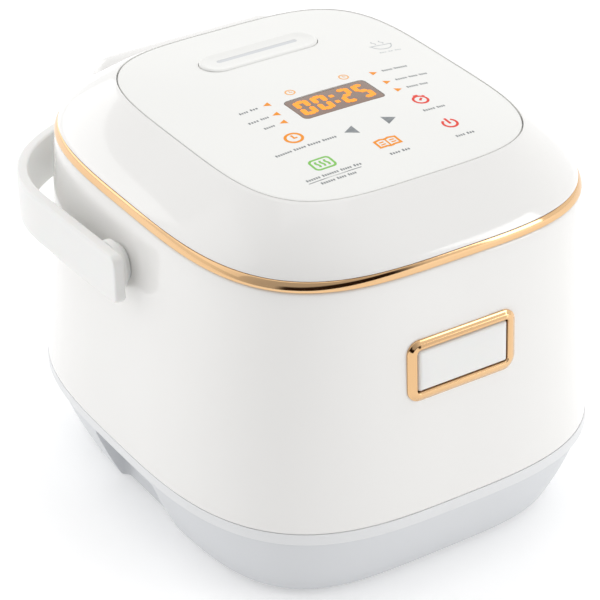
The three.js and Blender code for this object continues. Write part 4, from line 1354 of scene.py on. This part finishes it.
@dataclass
class SteamVent:
    """The lift-out cap with one long slot, a pale grey bar under the slot that paints the slot's shade, and
    the seal.
    """

    bench: Bench
    y: float = CASING.vent_y
    length: float = CASING.vent_size[0]
    width: float = CASING.vent_size[1]
    slot_length: float = 49.0
    slot_width: float = 3.0
    slot_y: float = CASING.vent_y + 1.5
    wall: float = 2.5
    bottom: float = 192.0
    seal_top: float = 189.65

    def pill(self, by: float, z: float) -> Ring:
        """The cap's outline in plan, moved in by a margin."""
        outline = rounded_rectangle(self.length - 2 * by, self.width - 2 * by, self.width / 2 - 0.05 - by, 12)
        return np.array([(x, y + self.y, z) for x, y in outline])

    def build(self) -> None:
        """Builds the hollow cap with its rounded shoulder and shallow dish, the pale grey bar that paints the
        shade in the slot, and the seal.
        """
        top = CASING.panel.z + CASING.crown - 0.55
        shoulder = [(0.38, 1.2), (0.5, 0.6), (0.95, 0.18), (1.5, 0.0), (2.4, 0.02), (3.6, 0.42), (5.4, 0.75),
                    (7.4, 0.9)]
        rings = [self.pill(0.38, self.bottom + 0.35)] + [self.pill(by, top - down) for by, down in shoulder]
        room = skin([self.pill(self.wall, self.bottom - 1), self.pill(self.wall, top - 3.2)])
        slot = prism(rounded_rectangle(self.slot_length, self.slot_width, 1.45), CUT_LOW, CUT_HIGH)
        self.bench.piece("vent_cap", skin(rings), Finishes.SATIN_FILM, "vent_cap", "satin_white",
                         ["steam_vent_cap"], [room, slot.shifted(0, self.slot_y)])
        # Painted shade: a pale grey bar just under the slot, so the slot shows flat grey in place of the
        # shade inside it.
        bar = prism(rounded_rectangle(self.slot_length + 1, self.slot_width + 1, 1.9), top - 4, top - 1.02)
        self.bench.piece("vent_slot_painted_shade_bar", bar.shifted(0, self.slot_y), Finishes.PALE_GREY_PP, "vent_cap",
                         "base_grey")
        seal = rounded([(7, 184.8, 0.4), (11, 184.8, 0.4), (11, self.seal_top, 0.4), (7, self.seal_top, 0.4)])
        self.bench.piece("vent_ring_seal", turned(seal, 0, self.y, 48), Finishes.SILICONE, "lid", "silicone",
                         ["vent_seal"])


# ------------------------------------------------------------------ control panel


class Glyph(Enum):
    """The seven segments lit for each sign of the clock: top, upper right, lower right, bottom and so on."""

    ZERO = "abcdef"
    TWO = "abged"
    FIVE = "afgcd"


@dataclass
class ControlPanel:
    """The smoked window, its lit clock, and the marks printed on the crowned panel."""

    bench: Bench
    window_at: Point2 = CASING.window_at
    window_size: Point2 = (48.3, 21.3)
    window_thick: float = 1.8
    segment_depth: float = 0.1
    ink: float = 0.05
    ink_root: float = 0.03
    digit_tall: float = 15.4
    digit_wide: float = 8.2
    stroke_wide: float = 2.9
    slant: float = 0.05

    def on_crown(self, points: Sequence[Point2], depth: float) -> Ring:
        """Points in plan laid on the crown, at a depth under it."""
        return np.array([(x, y, CASING.crown_height(x, y) - depth) for x, y in points])

    def patch(self, points: Sequence[Point2], depth: float = 0.0) -> Shape:
        """A filled mark, as thick as its ink."""
        return skin([self.on_crown(points, depth + self.ink_root), self.on_crown(points, depth - self.ink)])

    def band(self, outer: Sequence[Point2], inner: Sequence[Point2]) -> Shape:
        """A printed mark between two closed outlines."""
        edges = ((outer, self.ink_root), (outer, -self.ink), (inner, -self.ink), (inner, self.ink_root))
        return skin([self.on_crown(outline, depth) for outline, depth in edges], loop=True)

    def stroke(self, points: Sequence[Point2], width: float, depth: float = 0.0) -> Shape:
        """A drawn line of even width with square ends."""
        path = np.array(points, float)
        step = np.diff(path, axis=0)
        step /= np.linalg.norm(step, axis=1, keepdims=True)
        normal = np.stack([-step[:, 1], step[:, 0]], axis=1)
        corner = np.vstack([normal[:1], (normal[:-1] + normal[1:]) / 2, normal[-1:]])
        corner /= np.maximum((corner**2).sum(axis=1, keepdims=True), 0.25)
        left, right = path + corner * width / 2, path - corner * width / 2
        return self.patch([tuple(p) for p in left] + [tuple(p) for p in right[::-1]], depth)

    def hoop(
        self, x: float, y: float, radius: float, width: float, start: float = 0, end: float = 360
    ) -> Shape:
        """A drawn circle, or part of one, between two angles in degrees."""
        if end - start < 360:
            angles = np.radians(np.linspace(start, end, 30))
            return self.stroke([(x + radius * math.cos(t), y + radius * math.sin(t)) for t in angles], width)

        def loop(r: float) -> list[Point2]:
            """One edge of the drawn circle."""
            return [(x + px, y + py) for px, py in circle(r, 40)]

        return self.band(loop(radius + width / 2), loop(radius - width / 2))

    def curl(self, x: float, y: float, sway: float, rise: float, width: float) -> Shape:
        """A wisp of steam drawn upwards from a place."""
        line = [(x + sway * math.sin(t * 2 * math.pi), y + rise * t) for t in np.linspace(0, 1, 12)]
        return self.stroke(line, width)

    def mark(self, name: str, shapes: Sequence[Shape], finish: Finishes) -> None:
        """Makes a printed mark that moves with the lid."""
        self.bench.piece(name, merged(shapes), finish, "lid", "")

    def window(self) -> None:
        """The smoked window, flush with the crown and softened at its edge."""
        wx, wy = self.window_at
        w, h = self.window_size

        def ring(by: float, share: float, depth: float) -> Ring:
            """The window's outline, moved in and shrunk towards its middle, at a depth."""
            outline = rounded_rectangle(w - 2 * by, h - 2 * by, 2.65)
            return self.on_crown([(wx + x * share, wy + y * share) for x, y in outline], depth)

        centre = self.on_crown([(wx, wy)], 0.1)
        rings = [centre] + [ring(0.35, s, 0.1) for s in (0.15, 0.3, 0.45, 0.6, 0.75, 0.88, 1)]
        rings += [ring(0.1, 1, 0.2), ring(0, 1, 0.5), ring(0, 1, self.window_thick)]
        rings += [ring(0, 0.5, self.window_thick), self.on_crown([(wx, wy)], self.window_thick)]
        self.bench.piece("smoked_window", skin(rings), Finishes.SMOKED_ACRYLIC, "lid", "smoked_window",
                         ["display_window"])

    def digit(self, x: float, y: float, glyph: Glyph) -> list[Shape]:
        """The lit segments of one sign, centred at a place."""
        w, h, s = self.digit_wide / 2, self.digit_tall / 2, self.stroke_wide / 2
        flat_end, flat_tip = w - s * 1.9, w - s * 1.15
        flat = [(-flat_end, s), (-flat_tip, 0), (-flat_end, -s), (flat_end, -s), (flat_tip, 0), (flat_end, s)]
        end, tip = h / 2 - s * 0.95, h / 2 - s * 0.2
        upright = [(s, -end), (0, -tip), (-s, -end), (-s, end), (0, tip), (s, end)]
        places = {
            "a": (flat, 0, h - s), "g": (flat, 0, 0), "d": (flat, 0, -h + s), "f": (upright, -w + s, h / 2),
            "b": (upright, w - s, h / 2), "e": (upright, -w + s, -h / 2), "c": (upright, w - s, -h / 2),
        }
        result = []
        for key in glyph.value:
            outline, dx, dy = places[key]
            points = [(x + px + dx + (py + dy) * self.slant, y + py + dy) for px, py in outline]
            result.append(self.patch(points, self.segment_depth))
        return result

    def clock(self) -> None:
        """The lit clock: two signs, a colon, two signs."""
        wx, wy = self.window_at
        step = self.digit_wide + 1.9
        signs = [(-1.72, Glyph.ZERO), (-0.72, Glyph.ZERO), (0.72, Glyph.TWO), (1.72, Glyph.FIVE)]
        shapes = [s for place, glyph in signs for s in self.digit(wx + place * step, wy, glyph)]
        dot = rounded_rectangle(2.6, 2.6, 0.5, 3)
        for dy in (-3.2, 3.2):
            points = [(wx + px + dy * self.slant, wy + dy + py) for px, py in dot]
            shapes.append(self.patch(points, self.segment_depth))
        self.mark("clock_segments", shapes, Finishes.AMBER_GLOW)

    def pointer(self, x: float, y: float, side: int, long: float = 3.8, tall: float = 4.2) -> Shape:
        """A small triangle that points left or right."""
        back, tip = x - side * long / 2, x + side * long / 2
        return self.patch([(back, y - tall / 2), (tip, y), (back, y + tall / 2)])

    def dashes(self, x: float, y: float, widths: Sequence[float], tall: float = 1.5) -> list[Shape]:
        """A plain stand-in for a printed label: words drawn as runs of small even ticks."""
        tick_pitch, inked, first_taller, space = 1.35, 0.62, 1.25, 1.1
        result = []
        for width in widths:
            count = max(2, round(width / tick_pitch))
            for i in range(count):
                middle = x + (i + 0.5) * width / count
                high = tall * (first_taller if i == 0 else 1.0)
                outline = rounded_rectangle(width / count * inked, high, 0.2, 2)
                result.append(self.patch([(middle + px, y + (high - tall) / 2 + py) for px, py in outline]))
            x += width + space
        return result

    def labels(self, name: str, places: Sequence[tuple[float, float, Sequence[float]]]) -> None:
        """Prints several label stand-ins in grey as one mark, each an x, a y and its words' widths."""
        self.mark(name, [tick for place in places for tick in self.dashes(*place)], Finishes.GREY_INK)

    def small_clock(self, x: float, y: float) -> list[Shape]:
        """A small clock face."""
        return [self.hoop(x, y, 2.4, 0.8), self.stroke([(x, y + 1.5), (x, y), (x + 1.1, y - 0.3)], 0.6)]

    def programme_marks(self) -> None:
        """Pointers and labels beside the window."""
        left = [self.pointer(x, y, -1) for x, y in ((-30, -3), (-31.5, -14), (-33, -23))]
        right = [self.pointer(36, y, 1) for y in (-2, -14, -24)]
        self.mark("programme_pointers", left + right, Finishes.AMBER_INK)
        self.labels("programme_labels", [
            (-46, -3.2, [5.2, 4.6]), (-47.5, -14.2, [6, 4.8]), (-44, -23.2, [6.2]),
            (41, -2, [6.4, 8.2]), (41, -14, [7.2, 5.4, 5]), (41, -24, [7, 5]),
        ])
        clocks = self.small_clock(-13, 1.4) + self.small_clock(19.5, 1.4)
        self.mark("small_clocks", clocks, Finishes.PALE_AMBER_INK)

    def touch_marks(self) -> None:
        """The touch keys' icons and labels."""
        hands = [(-37, -36.2), (-37, -39.4), (-35.2, -39.4)]
        delay = [self.hoop(-37, -39, 4.3, 1.5), self.stroke(hands, 1.1)]
        self.mark("delay_icon", delay, Finishes.AMBER_INK)
        timer = [self.hoop(39, -38.9, 3.8, 1.35), self.stroke([(38.2, -39.6), (40.4, -37.4)], 1.3)]
        timer += [self.stroke([(37.6, -34), (40.4, -34)], 1.0)]
        timer += [self.stroke([(42.2, -35.2), (43.3, -36.3)], 0.9)]
        self.mark("timer_icon", timer, Finishes.RED_INK)
        start = [self.hoop(37.6, -65.9, 3.7, 1.35, 125, 415)]
        start += [self.stroke([(37.6, -66.4), (37.6, -60.9)], 1.4)]
        self.mark("start_icon", start, Finishes.RED_INK)
        self.mark("step_arrows", [self.pointer(-10, -48, -1, 6.6, 7.8), self.pointer(14, -48, 1, 6.6, 7.8)],
                  Finishes.SILVER_FOIL)
        self.mark("warm_icon", self.warm_icon(-38.5, -66.4), Finishes.GREEN_INK)
        self.mark("menu_icon", self.book(0, -65.7), Finishes.AMBER_INK)
        self.labels("touch_labels", [
            (-54, -49, [9.4, 7, 7.4, 8.2]), (33, -49.6, [7.2, 5]), (-54, -76, [8, 9.4, 6.4, 4.6]),
            (-49, -81.3, [8, 5.2, 4.8]), (-5.5, -76, [6, 4.6]), (32.5, -78, [5.4, 4.6]),
        ])
        underline = self.stroke([(x, -78.4) for x in steps_between(-54, -24, 2.5)], 0.45)
        self.mark("label_underline", [underline], Finishes.GREY_INK)

    def warm_icon(self, x: float, y: float) -> list[Shape]:
        """A rounded square with three rising curls."""
        loops = rounded_rectangle(12.4, 10, 2.6), rounded_rectangle(10, 7.6, 1.6)
        outer, inner = ([(x + px, y + py) for px, py in loop] for loop in loops)
        return [self.band(outer, inner)] + [self.curl(x + dx, y - 2.5, 0.5, 5, 1.15) for dx in (-2.6, 0, 2.6)]

    def book(self, x: float, y: float) -> list[Shape]:
        """An open book with two lines on each leaf."""
        leaf = [(0, -3.8), (2.2, -3.1), (6, -3.2), (6, 2.6), (2.4, 3.4), (0, 2.6)]
        lines = [(leaf, 1.3), ([(1.7, 0.9), (4.4, 0.8)], 0.9), ([(1.7, -1.1), (4.4, -1.2)], 0.9)]
        shapes = []
        for side in (-1, 1):
            for line, width in lines:
                shapes.append(self.stroke([(x + side * px, y + py) for px, py in line], width))
        shapes.append(self.stroke([(x, y - 3.6), (x, y + 2.8)], 0.9))
        return shapes

    def bowl_mark(self, x: float, y: float) -> None:
        """A generic steaming bowl."""
        bowl = [(x + 6 * math.cos(t), y + 1 + 5 * math.sin(t)) for t in np.linspace(math.pi, 2 * math.pi, 16)]
        shapes = [self.stroke(bowl, 0.55), self.stroke([(x - 7, y + 1), (x + 7, y + 1)], 0.6)]
        shapes += [self.curl(x + dx, y + 2.4, 0.7, 3.8, 0.5) for dx in (-2.4, 2.4)]
        self.mark("bowl_mark", shapes, Finishes.PALE_GREY_INK)
        self.mark("bowl_label", self.dashes(x - 6.5, y - 7.6, [4.4, 3, 4.2], 0.8), Finishes.PALE_GREY_INK)

    def build(self) -> None:
        """Builds the window, the clock and every printed mark."""
        self.window()
        self.clock()
        self.programme_marks()
        self.touch_marks()
        self.bowl_mark(59.5, 25)


# ------------------------------------------------------------------ carry handle


@dataclass
class CarryHandle:
    """A flat strap bent round the body's back, and the two stepped bosses that it turns on."""

    bench: Bench
    pivot_z: float = CASING.pivot_z
    tall: float = 26.5
    half: float = 127.5
    thick: float = 6.0
    front: float = 17.5
    corner: float = 4.5
    corner_y: float = 60.0
    depth: float = 90.0
    n: float = 2.4
    edge: float = 1.3
    droop: float = math.radians(2.4)
    bore: float = 6.35
    bore_from: float = 120.5
    bore_to: float = 125.0

    def path(self) -> np.ndarray:
        """The strap's middle line, from the right end round the back to the left end."""
        side, reach = self.half - self.thick / 2, self.depth - self.thick / 2
        near = [0.0, 0.25, 0.6, 1.1, 1.8, 2.8, 3.8, 4.6, 6.5]
        arm = [(side, -self.front + d) for d in near + steps_between(10, self.front + self.corner_y - 4, 5)]
        bow = []
        for t in np.linspace(0, math.pi, 97):
            across, back = (abs(v) ** (2 / self.n) for v in (math.cos(t), math.sin(t)))
            bow.append((side * math.copysign(across, math.cos(t)), self.corner_y + reach * back))
        points = arm + bow + [(-x, y) for x, y in reversed(arm)]
        return np.array([(x, y, 0) for x, y in points])

    def strap(self) -> Shape:
        """The strap: a rounded-rectangle section that narrows into its rounded ends."""
        path = self.path()
        travelled = np.concatenate([[0], np.cumsum(np.linalg.norm(np.diff(path, axis=0), axis=1))])
        tangent = np.gradient(path, travelled, axis=0)
        tangent /= np.linalg.norm(tangent, axis=1, keepdims=True)
        rings = []

        def shrink(distance: float, radius: float) -> float:
            """How far a round of this radius pulls the section in, this far from the strap's end."""
            return radius - math.sqrt(max(0.0, radius**2 - max(0.0, radius - distance) ** 2))

        for here, along, done in zip(path, tangent, travelled):
            to_end = min(done, travelled[-1] - done)
            width = self.thick - 2 * shrink(to_end, self.edge)
            height = self.tall - 2 * shrink(to_end, self.corner)
            across = np.array([along[1], -along[0], 0])
            section = rounded_rectangle(width, height, min(self.edge, width / 2 - 0.05), 5)
            rings.append(np.array([here + across * u + np.array([0, 0, v]) for u, v in section]))
        return skin(rings)

    def build(self) -> None:
        """Builds the strap, laid back on its bosses, and the bosses."""
        spans = [(-self.bore_to, -self.bore_from), (self.bore_from, self.bore_to)]
        bores = [bar_x(self.bore, start, end, 0, 0, around=40) for start, end in spans]
        lay = Matrix.Translation((0, 0, self.pivot_z)) @ Matrix.Rotation(-self.droop, 4, "X")
        self.bench.piece("carry_strap", self.strap().moved(lay), Finishes.SATIN_PP, "carry_handle",
                         "satin_white", ["handle"], [bore.moved(lay) for bore in bores])
        profile = rounded([
            (0, 104), (9, 104, 0.4), (9, 114.5), (10.3, 114.5), (10.3, 117.2), (13, 117.2, 0.6),
            (13, 121.15, 0.9), (6, 121.15), (6, 124.65, 0.4), (0, 124.65),
        ], closed=False)
        for name, side in (("left", -1), ("right", 1)):
            boss = turned([(r, side * x) for r, x in profile], around=64).along_x()
            self.bench.piece(f"strap_boss_{name}", boss.shifted(0, 0, self.pivot_z), Finishes.SATIN_PP,
                             "base", "satin_white", [f"handle_pivot_{name}"])


# ------------------------------------------------------------------ pieces kept from the frame


@dataclass(frozen=True)
class KeptPiece:
    """A frame piece whose shape is already right: its finish and the radius of its edges."""

    node: str
    finish: Finishes
    edge: float


@dataclass
class InnerWorks:
    """The boards, brackets and pockets inside, dressed as they stand in the frame."""

    kept: tuple[KeptPiece, ...] = (
        KeptPiece("sensor_bracket", Finishes.ROLLED_STEEL, 0.4),
        KeptPiece("thermal_fuse", Finishes.STAMPED_BRASS, 0.4),
        KeptPiece("main_board", Finishes.SOLDER_MASK, 0.2),
        KeptPiece("power_relay", Finishes.FILLED_NYLON, 0.6),
        KeptPiece("transformer", Finishes.FILLED_NYLON, 0.8),
        KeptPiece("cup_holder", Finishes.SATIN_PP, 0.4),
        KeptPiece("hinge_bracket", Finishes.ROLLED_STEEL, 0.4),
        KeptPiece("latch_carrier", Finishes.FILLED_NYLON, 0.3),
        KeptPiece("control_board", Finishes.SOLDER_MASK, 0.2),
        KeptPiece("display_module", Finishes.FILLED_NYLON, 0.4),
        KeptPiece("vent_housing", Finishes.SATIN_PP, 0.4),
    )

    def dress(self) -> None:
        """Gives each piece its finish and softened edges."""
        for kept in self.kept:
            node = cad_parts[kept.node]
            node.data.materials.clear()
            node.data.materials.append(material_of(kept.finish))
            add_bevel(node, kept.edge, 2, 50)
            LOG.info("%s: dressed as it stands", kept.node)


# ------------------------------------------------------------------ studio


@dataclass
class Studio:
    """The pale floor, soft lights and the camera."""

    bench: Bench
    azimuth: float = math.radians(-33.547)
    elevation: float = math.radians(31.413)
    roll: float = math.radians(0.263)
    distance: float = 1333.8
    aim: float = 92.5
    lamp_aim: float = 110.0
    lens: float = 150.61
    shift: Point2 = (-0.0202, -0.0006)
    cloth_side: tuple[float, float, float] = (-0.66, -0.75, 0.1)
    card_side: tuple[float, float, float] = (-0.28, -0.96, 0.0)
    tent: str = "#FFFFFF"
    cloth: str = "#B9B9BB"
    card: str = "#2A1D14"
    tent_power: float = 1.02
    table_glow: float = 0.23

    def camera(self) -> None:
        """The camera that the cooker is seen from."""
        az, el = self.azimuth, self.elevation
        back = Vector((math.sin(az) * math.cos(el), -math.cos(az) * math.cos(el), math.sin(el)))
        right = Vector((math.cos(az), math.sin(az), 0))
        up = back.cross(right)
        rolled_right = right * math.cos(self.roll) + up * math.sin(self.roll)
        rolled_up = up * math.cos(self.roll) - right * math.sin(self.roll)
        data = bpy.data.cameras.new("cooker_camera")
        data.lens, data.sensor_width, data.clip_start, data.clip_end = self.lens, 36.0, 0.05, 50.0
        data.shift_x, data.shift_y = self.shift
        camera = bpy.data.objects.new("cooker_camera", data)
        turn = Matrix((rolled_right, rolled_up, back)).transposed().to_4x4()
        place = self.bench.place(0, 0, self.aim) + back * self.distance * MM
        camera.matrix_world = Matrix.Translation(place) @ turn
        bpy.context.scene.collection.objects.link(camera)
        bpy.context.scene.camera = camera

    def light(self, name: str, at: Sequence[float], size: Sequence[float], power: float) -> None:
        """A soft rectangular lamp aimed at the cooker.

        Args:
            name: the lamp's name.
            at: its place in millimetres.
            size: its width and height in millimetres.
            power: its power in watts.
        """
        data = bpy.data.lights.new(name, "AREA")
        data.shape, data.size, data.size_y, data.energy = "RECTANGLE", size[0] * MM, size[1] * MM, power
        lamp = bpy.data.objects.new(name, data)
        lamp.location = self.bench.place(*at)
        towards = self.bench.place(0, 0, self.lamp_aim) - lamp.location
        lamp.rotation_euler = towards.to_track_quat("-Z", "Y").to_euler()
        bpy.context.scene.collection.objects.link(lamp)

    def floor(self) -> None:
        """A wide, pale, matt light table under the feet, lit a little from inside."""
        low, half, thick = self.bench.origin.z / MM, 4000, 6
        slab = brick((-half, -half, -low - thick), (half, half, -low), 0)
        floor = self.bench.mesh("studio_floor", slab)
        paint = Finish("studio_floor_paint", "#F4F4F4", "#F6F6F6", 0.9, 1.4, drift_mm=900, relief_mm=0.0,
                       specular=0.1)
        material = paint.make()
        shader = next(node for node in material.node_tree.nodes if node.type == "BSDF_PRINCIPLED")
        shader.inputs["Emission Color"].default_value = linear("#FFFFFF")
        shader.inputs["Emission Strength"].default_value = self.table_glow
        floor.data.materials.append(material)

    def sky(self) -> None:
        """A white tent with a dimmer cloth in front and a dark card low behind it.

        The cloth models the front corner; the card is what the polished ring and frame mirror as dark lines.
        """
        world = bpy.data.worlds.new("white_tent")
        world.use_nodes = True
        bpy.context.scene.world = world
        nodes = world.node_tree
        nodes.nodes.clear()
        facing = add_node(nodes, "ShaderNodeTexCoord").outputs["Generated"]

        def ramp(value: bpy.types.NodeSocket, stops: Sequence[tuple[float, str]]) -> bpy.types.NodeSocket:
            """Turns a value into a colour by way of soft stops."""
            node = add_node(nodes, "ShaderNodeValToRGB", {"Fac": value})
            node.color_ramp.interpolation = "EASE"
            while len(node.color_ramp.elements) < len(stops):
                node.color_ramp.elements.new(0.5)
            for element, (at, colour) in zip(node.color_ramp.elements, stops):
                element.position, element.color = at, linear(colour)
            return node.outputs["Color"]

        def towards(side: tuple[float, float, float]) -> bpy.types.NodeSocket:
            """How squarely the sky faces one side, from -1 to 1."""
            inputs = {0: facing, 1: side}
            return add_node(nodes, "ShaderNodeVectorMath", inputs, operation="DOT_PRODUCT").outputs["Value"]

        height = add_node(nodes, "ShaderNodeSeparateXYZ", {"Vector": facing}).outputs["Z"]
        tent = ramp(towards(self.cloth_side), [(0.15, self.tent), (0.9, self.cloth)])
        sector = ramp(towards(self.card_side), [(0.66, "#000000"), (0.8, "#FFFFFF")])
        band = ramp(height, [(0.0, "#FFFFFF"), (0.24, "#FFFFFF"), (0.32, "#000000")])
        share = add_node(nodes, "ShaderNodeMath", {0: sector, 1: band}, operation="MULTIPLY")
        colour = add_node(nodes, "ShaderNodeMix", data_type="RGBA")
        nodes.links.new(share.outputs["Value"], colour.inputs["Factor"])
        nodes.links.new(tent, colour.inputs["A"])
        colour.inputs["B"].default_value = linear(self.card)
        background = add_node(
            nodes, "ShaderNodeBackground", {"Color": colour.outputs["Result"], "Strength": self.tent_power}
        )
        add_node(nodes, "ShaderNodeOutputWorld", {"Surface": background.outputs["Background"]})

    def build(self) -> None:
        """Sets up floor, tent and lights."""
        self.floor()
        self.sky()
        self.light("left_softbox", (-1500, 600, 1000), (1400, 1200), 1.5)
        self.light("top_softbox", (100, 200, 1900), (1500, 1500), 3.0)
        self.light("rear_softbox", (-700, 1900, 600), (1800, 900), 4)
        self.light("right_softbox", (1400, -1600, 650), (700, 1100), 7)
        bpy.context.scene.view_settings.view_transform = "Standard"


def main() -> None:
    """Builds the cooker piece by piece, then the studio round it."""
    logging.basicConfig(level=logging.INFO, format="%(name)s %(message)s", stream=sys.stdout)
    bench = Bench()
    studio = Studio(bench)
    studio.camera()
    hinge, latch = HingeBarrel(bench), Latch(bench)
    for assembly in (
        Base(bench), BodyShell(bench, latch, hinge), CookingWell(bench), RearFittings(bench), latch, hinge,
        Lid(bench, hinge), SteamVent(bench), ControlPanel(bench), CarryHandle(bench),
    ):
        assembly.build()
        LOG.info("%s is built", type(assembly).__name__)
    InnerWorks().dress()
    studio.build()
    LOG.info("%d pieces", bench.count)


if __name__ == "__main__":
    main()
